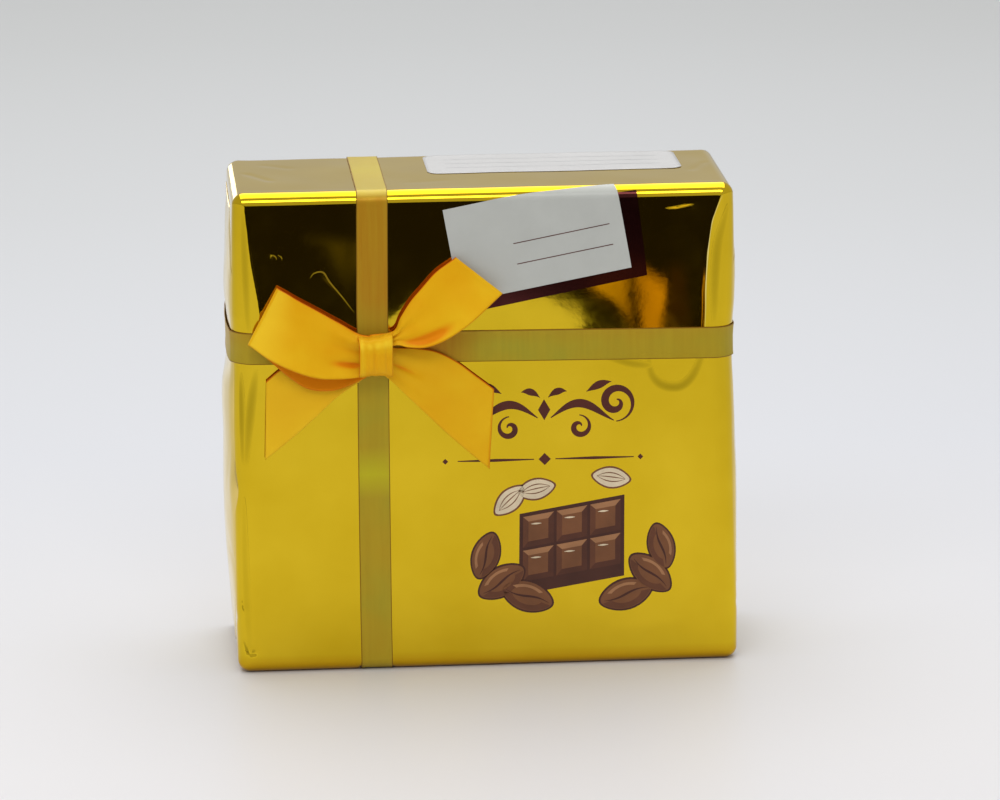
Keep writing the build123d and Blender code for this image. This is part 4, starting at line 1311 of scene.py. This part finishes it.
LABEL_RADIUS = 3.0 * MM
LABEL_THICKNESS = 0.06 * MM
LABEL_LIFT = 0.09 * MM
LABEL_CURL = 0.06 * MM
LABEL_CURL_REACH = 8.0 * MM
LABEL_RULES = (0.30, 0.52, 0.74)
LABEL_RULE_LIFT = 0.14 * MM
LABEL_RULE_WIDTH = 0.18
LABEL_RULE_INSET = 5
LABEL_COLUMNS, LABEL_ROWS = 60, 26


def make_label():
    """Blank white sticker with a barely lifted corner, and faint ruled lines."""
    low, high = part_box("price_label")
    columns = np.linspace(low.x, high.x, LABEL_COLUMNS)
    rows = np.linspace(low.y, high.y, LABEL_ROWS)
    places = np.stack(np.meshgrid(columns, rows), -1).reshape(-1, 2)
    core = np.clip(places, np.array(low.xy) + LABEL_RADIUS, np.array(high.xy) - LABEL_RADIUS)
    arm = places - core
    x, y = (core + unit(arm) * np.abs(arm).max(1)[:, None]).T
    curl = np.maximum(0.0, 1 - np.hypot(high.x - x, y - low.y) / LABEL_CURL_REACH) ** 2
    sticker = over_foil(spots(x, y, TOP_Z), LABEL_LIFT + LABEL_CURL * curl)
    label = add_object("blank_price_label", sticker, grid_faces(len(rows), len(columns)))
    solidify(label, LABEL_THICKNESS)
    dress(label, "label_paper", "label_paper", "lid", "price_label")
    rules = []
    for share in LABEL_RULES:
        up = (low.y + (high.y - low.y) * share) / MM
        ends = low.x / MM + LABEL_RULE_INSET, high.x / MM - LABEL_RULE_INSET
        line = [(x, up) for x in np.linspace(*ends, 50)]
        rules.append(stroke(line, [LABEL_RULE_WIDTH] * len(line)))
    flat, faces = joined(rules)
    ruled = over_foil(spots(flat[:, 0] * MM, flat[:, 1] * MM, TOP_Z), LABEL_RULE_LIFT)
    dress(add_object("label_rules", ruled, flip(faces)), "label_rule", "label_paper", "lid")


# What the box holds

PRALINES = range(1, 10)
BALL_AROUND, BALL_DOWN = 144, 96
FOIL_GAP = 0.05 * MM
CUP_FLUTES = 40
CUP_FLOOR_SHARES = (0.02, 0.4, 0.75, 0.93, 1.0)
CUP_STEPS = 12
CUP_THICKNESS = 0.10 * MM
CUP_SIDE_GAP = 0.55 * MM
CUP_END_GAP = 0.4 * MM
CUP_FOOT_GAP = 0.15 * MM
CUP_FLARE = 5.6 * MM
QUARTER = math.pi / 2


def crumpled_ball_mesh(radius, depth, seed):
    """A chocolate's foil: a ball pressed in by up to depth, with creases and a gathered foot."""
    points = []
    shift = Vector((seed * 7.3, seed * 3.1, seed * 5.7))
    for i in range(BALL_DOWN + 1):
        polar = math.pi * i / BALL_DOWN
        out, up = math.sin(polar), math.cos(polar)
        for k in range(BALL_AROUND):
            turn = ROUND * k / BALL_AROUND
            way = Vector((out * math.cos(turn), out * math.sin(turn), up))
            coarse = noise.noise(way * 2.6 + shift)
            cells = noise.voronoi(way * 4.2 + shift)[0]
            ridge = min(0.35, cells[1] - cells[0])
            fine = noise.noise(way * 11.0 + shift)
            pleat = max(0.0, -way.z - 0.2) * math.cos(turn * 17 + 2 * coarse)
            pressed = 0.15 + 1.9 * ridge - 0.45 * coarse - 0.20 * fine - 0.6 * pleat
            points.append(way * (radius - depth * min(1.0, max(0.0, pressed))))
    return add_mesh(f"praline_foil_{seed}", points, flip(grid_faces(BALL_DOWN + 1, BALL_AROUND, loop=True)))


def fluted_cup_mesh(height, floor_radius, mouth_radius):
    """A paper cup with fine flutes and a slightly waved mouth, standing on its floor."""
    around = CUP_FLUTES * 8
    turn = ROUND * np.arange(around) / around
    rows = []
    for share in CUP_FLOOR_SHARES:
        radius = share * floor_radius + max(0.0, share - 0.6) * 0.9 * MM * np.cos(turn * CUP_FLUTES)
        rows.append(spots(radius * np.cos(turn), radius * np.sin(turn), 0.0))
    for rise in np.arange(1, CUP_STEPS + 1) / CUP_STEPS:
        wave = (0.36 + 0.22 * rise) * MM * np.cos(turn * CUP_FLUTES + 0.25 * np.sin(turn * 5))
        radius = floor_radius + (mouth_radius - floor_radius) * rise ** 0.85 + wave
        tip = 0.35 * MM * rise ** 6 * np.sin(turn * 4 + 1)
        rows.append(spots(radius * np.cos(turn), radius * np.sin(turn), rise * height + tip))
    return add_mesh("fluted_cup", np.concatenate(rows), flip(grid_faces(len(rows), around, loop=True)))


def make_contents():
    """Wrapped chocolates in their cups."""
    cup_mesh = None
    for number in PRALINES:
        low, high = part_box(f"foil_wrapper_{number}")
        (x, _, z), (radius, _, _) = middle_and_half(f"foil_wrapper_{number}")
        depth = radius - middle_and_half(f"praline_{number}")[1][0] - FOIL_GAP
        ball = place_object(f"wrapped_praline_{number}", crumpled_ball_mesh(radius, depth, number))
        ball.matrix_world = Matrix.Translation((x, low.y + radius, z)) @ Matrix.Rotation(QUARTER, 4, "X")
        dress(ball, "candy_foil", "candy_foil", "base", f"foil_wrapper_{number}")
        low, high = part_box(f"paper_cup_{number}")
        (x, _, z), (half, _, _) = middle_and_half(f"paper_cup_{number}")
        if cup_mesh is None:
            mouth = half - CUP_SIDE_GAP
            cup_mesh = fluted_cup_mesh(high.y - low.y - CUP_END_GAP, mouth - CUP_FLARE, mouth)
        cup = place_object(f"fluted_cup_{number}", cup_mesh)
        upright = Matrix.Rotation(QUARTER, 4, "X") @ Matrix.Rotation(number * QUARTER, 4, "Z")
        cup.matrix_world = Matrix.Translation((x, high.y - CUP_FOOT_GAP, z)) @ upright
        solidify(cup, CUP_THICKNESS)
        dress(cup, "cup_paper", "cup_paper", "base", f"paper_cup_{number}")


CUSHION_STEPS = 110
QUILT_PITCH = 9.0 * MM
QUILT_SHARE = 0.72
CUSHION_GAP = 0.05 * MM


def make_cushion():
    """Embossed cushion sheet behind the front panel, dimpled in diamonds."""
    low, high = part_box("cushion_pad")
    n, size = CUSHION_STEPS, CUSHION_STEPS ** 2
    u, v = (grid.ravel() for grid in np.meshgrid(np.linspace(0, 1, n), np.linspace(0, 1, n)))
    x, z = low.x + (high.x - low.x) * u, low.z + (high.z - low.z) * v
    crown = fade(np.minimum.reduce([u, 1 - u, v, 1 - v]) * (high.x - low.x), 0, 3)
    quilt = np.abs(np.sin(math.pi * (x + z) / QUILT_PITCH) * np.sin(math.pi * (x - z) / QUILT_PITCH)) ** 0.5
    back = high.y - (high.y - low.y) * QUILT_SHARE * (1 - crown * (0.35 + 0.65 * quilt))
    points = np.concatenate([spots(x, low.y + CUSHION_GAP, z), spots(x, back, z)])
    faces = grid_faces(n, n) + flip(grid_faces(n, n, size))
    ring = [*range(n), *range(2 * n - 1, size, n)]
    ring += [*range(size - 2, size - n - 1, -1), *range(size - 2 * n, 0, -n)]
    for first, second in zip(ring, ring[1:] + ring[:1]):
        faces.append((second, first, first + size, second + size))
    pad = add_object("quilted_cushion_sheet", points, faces)
    weld(pad, WELD_FINE)
    dress(pad, "pad_paper", "pad_paper", "lid", "cushion_pad")


# Materials by name, and the pieces

INKS = {
    "dark": (0.062, 0.018, 0.010), "deep": (0.085, 0.026, 0.013), "warm": (0.125, 0.042, 0.018),
    "milk": (0.185, 0.070, 0.026), "light": (0.36, 0.17, 0.075), "cream": (0.72, 0.60, 0.42),
}
LOOKS = [
    lid_foil(),
    gold_foil("flap_foil", ((0.75, 0.56, 0.15), (0.83, 0.64, 0.22)), (0.08, 0.2)),
    gold_foil("candy_foil", ((0.80, 0.52, 0.06), (0.88, 0.62, 0.10)), (0.12, 0.26), (420.0, 0.9)),
    # Foils for the fold lines: painted shade, painted crease shade, painted glint and painted highlight
    toned_foil("shaded_foil", (0.34, 0.24, 0.008)),
    toned_foil("crease_shade_foil", (0.12, 0.055, 0.012), 0.1),
    toned_foil("glint_foil", (0.98, 0.55, 0.01), 0.1),
    toned_foil("painted_highlight_foil", (0.95, 0.80, 0.28)),
    flat_ribbon(),
    satin(),
    print_ink("tag_white", (0.50, 0.515, 0.49), 0.28, 0.0, 0.04),
    print_ink("maroon_foil", (0.070, 0.016, 0.015), 0.10, 0.9),
    print_ink("maroon_ink", (0.085, 0.016, 0.008), 0.34),
    *(print_ink(f"print_{name}", color) for name, color in INKS.items()),
    print_ink("label_rule", (0.42, 0.43, 0.45)),
    paper("label_paper", (0.52, 0.52, 0.53), (0.58, 0.58, 0.595), 0.45),
    paper("board", (0.74, 0.72, 0.66), (0.82, 0.79, 0.70), 0.7),
    paper("pad_paper", (0.76, 0.70, 0.56), (0.84, 0.80, 0.68), 0.5),
    base_card(),
    tray_plastic(),
    cup_paper(),
    chocolate(),
    Look("glue", (0.75, 0.68, 0.45), 0.3, 0.0, Transmission_Weight=0.4),
]
MATERIALS = {look.name: look.material for look in LOOKS}
# CAD nodes that stay in view, and their materials
PAINTED = {
    "lid_shell": "board", "base_tray": "base_card", "pocket_tray": "tray_plastic", "bow_glue_dot": "glue",
    **{f"praline_{number}": "chocolate" for number in PRALINES},
}
# Parts of the bow, from what they are made
BOW = [
    ("left_loop", make_loop, LEFT_LOOP_FRONT, LEFT_LOOP_BACK, LEFT_LOOP_DART, LEFT_LOOP_HIGHLIGHT),
    ("right_loop", make_loop, RIGHT_LOOP_FRONT, RIGHT_LOOP_BACK, RIGHT_LOOP_DART, RIGHT_LOOP_HIGHLIGHT),
    ("left_tail", make_tail, LEFT_TAIL, LEFT_TAIL_DART, LEFT_TAIL_HIGHLIGHT, LEFT_CUT_SHADE),
    ("right_tail", make_tail, RIGHT_TAIL, RIGHT_TAIL_DART, RIGHT_TAIL_HIGHLIGHT, RIGHT_CUT_SHADE),
]

dress(make_foil_cover(), "gold_foil", "gold_foil", "lid", "foil_wrap")
dress(make_flap(-1), "flap_foil", "gold_foil", "lid")
dress(make_flap(1), "flap_foil", "gold_foil", "lid")
dress(make_upright_ribbon(), "flat_ribbon", "flat_ribbon", "lid", "ribbon_vertical")
dress(make_cross_ribbon(), "flat_ribbon", "flat_ribbon", "lid", "ribbon_horizontal")
make_fold_lines("foil_shaded_folds", SHADED_FOLDS, "shaded_foil")
make_fold_lines("foil_crease_shades", CREASE_SHADES, "crease_shade_foil")
make_fold_lines("foil_painted_highlights", PAINTED_HIGHLIGHTS, "painted_highlight_foil")
make_fold_lines("foil_glint_folds", GLINT_FOLDS, "glint_foil")
make_tag_print()
make_flourish_print()
make_picture_print()
make_label()
for part, make, *shape in BOW:
    piece, length = make(f"satin_{part}", *shape)
    dress(piece, "satin", "satin", "lid", f"bow_{part}")
dress(make_knot(), "satin", "satin", "lid", "bow_knot")
make_contents()
make_cushion()
for node_name, material_name in PAINTED.items():
    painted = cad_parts[node_name].data.materials
    painted.clear()
    painted.append(MATERIALS[material_name])


# Floor, dark card, lamps and camera

FLOOR_REACH = 3.0
# Painted shade: the table's colour darkens with distance behind the box, for the light falling off
FLOOR_SHADE_TINTS = [
    (0.0, (0.745, 0.74, 0.775)), (0.30, (0.64, 0.655, 0.71)),
    (0.65, (0.575, 0.59, 0.62)), (1.0, (0.54, 0.555, 0.575)),
]


def make_floor():
    """A wide pale table that runs out of sight, with painted shade that darkens it further back."""
    corners = [(x * FLOOR_REACH, y * FLOOR_REACH, 0) for x, y in ((-1, -1), (1, -1), (1, 1), (-1, 1))]
    floor = add_object("floor", corners, [(0, 1, 2, 3)], False)
    look = Look("floor", (0.78, 0.76, 0.73), 0.42, 0.0, Specular_IOR_Level=0.35)
    far = look.between(look.split(look.place())["Y"], -0.1, 0.9, 0.0, 1.0)
    look.paint(far, *FLOOR_SHADE_TINTS)
    floor.data.materials.append(look.material)


CAMERA_AZIMUTH = math.radians(-4.41)
CAMERA_ELEVATION = math.radians(13.37)
CAMERA_ROLL = math.radians(-0.50)
CAMERA_DISTANCE = 1.316
CAMERA_TARGET = Vector((0.00511, 0.0, 0.06111))
CAMERA_PIXELS = 5392.0
PICTURE_WIDTH = 1000.0
SENSOR_WIDTH = 36.0
CAMERA_BACK = Vector((
    math.sin(CAMERA_AZIMUTH) * math.cos(CAMERA_ELEVATION),
    -math.cos(CAMERA_AZIMUTH) * math.cos(CAMERA_ELEVATION),
    math.sin(CAMERA_ELEVATION),
))
CAMERA_PLACE = CAMERA_TARGET + CAMERA_BACK * CAMERA_DISTANCE

# Where the edges of the cards in front of the box show on its front panel: right and up, in millimetres
DARK_OUTLINE = [
    (-58.5, 79.6), (-30.0, 79.8), (-26.5, 83.0), (-24.0, 86.8), (-14.0, 87.6), (0.0, 89.6), (12.0, 89.6),
    (18.0, 88.2), (21.5, 85.6), (28.4, 80.0), (58.0, 78.6), (63.0, 117.9), (-62.0, 117.9),
]
AMBER_LEFT = [(22.8, 92.4), (24.0, 95.4), (34.3, 96.2), (34.4, 84.4), (30.8, 86.6)]
AMBER_RIGHT = [(36.0, 80.0), (36.4, 95.0), (44.0, 92.5), (44.4, 80.0)]
OLIVE_GLOW = [(-43.0, 111.0), (-27.0, 110.0), (-27.0, 90.0), (-35.0, 98.5)]
RIGHT_GLOW = [(45.0, 82.0), (45.0, 97.0), (51.0, 97.0), (51.0, 82.0)]
CARD_REACH = 1.6
CARD_SPREAD = 0.10
FAR_EDGE = 115.0
PLAIN_RINGS = [(1.0, 0.0)]
GLOW_RINGS = [(1.0, 0.0), (0.55, 1.0), (0.0, 1.0)]
SOFT_RINGS = [(1.0, 0.0), (0.7, 0.3), (0.4, 0.8), (0.0, 1.0)]
DARK = (0.0140, 0.0112, 0.007)
AMBER_EDGE = (0.20, 0.10, 0.01)


def mirrored_place(x, z, height):
    """Where a card at a height lies for the front panel to show it at (x, z)."""
    share = (z - height) / (CAMERA_PLACE.z - z)
    depth = FRONT_Y - CAMERA_PLACE.y
    return Vector((x + share * (x - CAMERA_PLACE.x), FRONT_Y - share * depth, height))


def make_card(name, outline, height, border, middle, rings):
    """A card lying in front of the box, outside the view, for the foil to reflect.

    Rings are shares of the outline, from the border inwards, with the tone at each: 0 shows the border's
    colour and 1 the middle's. A far edge runs on away from the box.
    """
    points = []
    for x, z in outline:
        place = mirrored_place(x * MM, z * MM, height)
        if z > FAR_EDGE:
            way = place - Vector((CAMERA_PLACE.x, 2 * FRONT_Y - CAMERA_PLACE.y, height))
            place += Vector((way.x / abs(way.y) * CARD_REACH + math.copysign(CARD_SPREAD, x), -CARD_REACH, 0))
        points.append(place)
    centre = sum(points, Vector()) / len(points)
    vertices = [centre.lerp(place, share) for share, _ in rings for place in points]
    count = len(points)
    faces = grid_faces(len(rings), count, loop=True) if len(rings) > 1 else [tuple(range(count))]
    card = add_object(name, vertices, faces, False)
    keep_attribute(card, "tone", [(tone, tone, tone) for _, tone in rings for _ in points])
    look = Look(name, border, 0.9, 0.0, Specular_IOR_Level=0.0)
    streak = look.between(look.noise(7.0, 3.0, stretch=(9.0, 1.0, 1.0)), 0.3, 0.7, 0.45, 1.0)
    look.use("Base Color", look.mix(look.math("MULTIPLY", look.kept("tone")["Fac"], streak), border, middle))
    card.data.materials.append(look.material)
    card.visible_camera = False
    card.visible_diffuse = False
    card.visible_transmission = False
    card.visible_shadow = False


def make_lamp(name, place, target, size, power):
    """A lamp with a rectangle of light, turned towards its target."""
    data = bpy.data.lights.new(name, "AREA")
    data.shape = "RECTANGLE"
    data.size, data.size_y = size
    data.energy = power
    lamp = place_object(name, data)
    lamp.location = place
    lamp.rotation_mode = "QUATERNION"
    lamp.rotation_quaternion = (Vector(target) - Vector(place)).to_track_quat("-Z", "Y")


def make_world():
    """A plain room, a little bluer where the camera sees it."""
    world = bpy.data.worlds.new("studio")
    bpy.context.scene.world = world
    world.use_nodes = True
    nodes, links = world.node_tree.nodes, world.node_tree.links
    nodes.clear()
    mix = nodes.new("ShaderNodeMixShader")
    links.new(nodes.new("ShaderNodeLightPath").outputs["Is Camera Ray"], mix.inputs["Fac"])
    for index, color in ((1, (0.54, 0.53, 0.50, 1)), (2, (0.62, 0.64, 0.66, 1))):
        background = nodes.new("ShaderNodeBackground")
        background.inputs["Color"].default_value = color
        links.new(background.outputs["Background"], mix.inputs[index])
    links.new(mix.outputs["Shader"], nodes.new("ShaderNodeOutputWorld").inputs["Surface"])


def make_camera():
    """The camera, fitted to the photo's view of the box."""
    data = bpy.data.cameras.new("camera")
    data.sensor_width = SENSOR_WIDTH
    data.lens = CAMERA_PIXELS / PICTURE_WIDTH * SENSOR_WIDTH
    data.clip_start = 0.01
    data.clip_end = 100.0
    camera = place_object("camera", data)
    right = (-CAMERA_BACK).cross(Vector((0, 0, 1))).normalized()
    up = right.cross(-CAMERA_BACK)
    rolled_right = right * math.cos(CAMERA_ROLL) + up * math.sin(CAMERA_ROLL)
    rolled_up = up * math.cos(CAMERA_ROLL) - right * math.sin(CAMERA_ROLL)
    turn = Matrix((rolled_right, rolled_up, CAMERA_BACK)).transposed().to_4x4()
    camera.matrix_world = Matrix.Translation(CAMERA_PLACE) @ turn
    bpy.context.scene.camera = camera


make_floor()
# Hidden cards whose colours paint the reflections on the foil's front: a dark zone, and amber, olive and rust
# patches
make_card("dark_card", DARK_OUTLINE, 1.0 * MM, DARK, (0.02, 0.015, 0.006), PLAIN_RINGS)
make_card("amber_card_left", AMBER_LEFT, 2.0 * MM, AMBER_EDGE, (0.75, 0.46, 0.05), GLOW_RINGS)
make_card("amber_card_right", AMBER_RIGHT, 2.0 * MM, AMBER_EDGE, (0.68, 0.36, 0.04), GLOW_RINGS)
make_card("olive_card", OLIVE_GLOW, 2.0 * MM, DARK, (0.085, 0.072, 0.02), SOFT_RINGS)
make_card("rust_card", RIGHT_GLOW, 2.0 * MM, DARK, (0.042, 0.020, 0.006), GLOW_RINGS)
make_lamp("top_softbox", (0.0, 0.51, 0.85), (0, 0.51, 0), (0.9, 1.38), 7.5)
make_lamp("front_softbox", (-0.20, -0.95, 0.95), (0, 0, 0.05), (1.0, 0.36), 4.6)
make_lamp("side_panel", (-0.55, 2.0, 0.15), (0, 0, 0.1), (0.30, 0.5), 0.9)
make_world()
make_camera()
bpy.context.scene.view_settings.view_transform = "Standard"
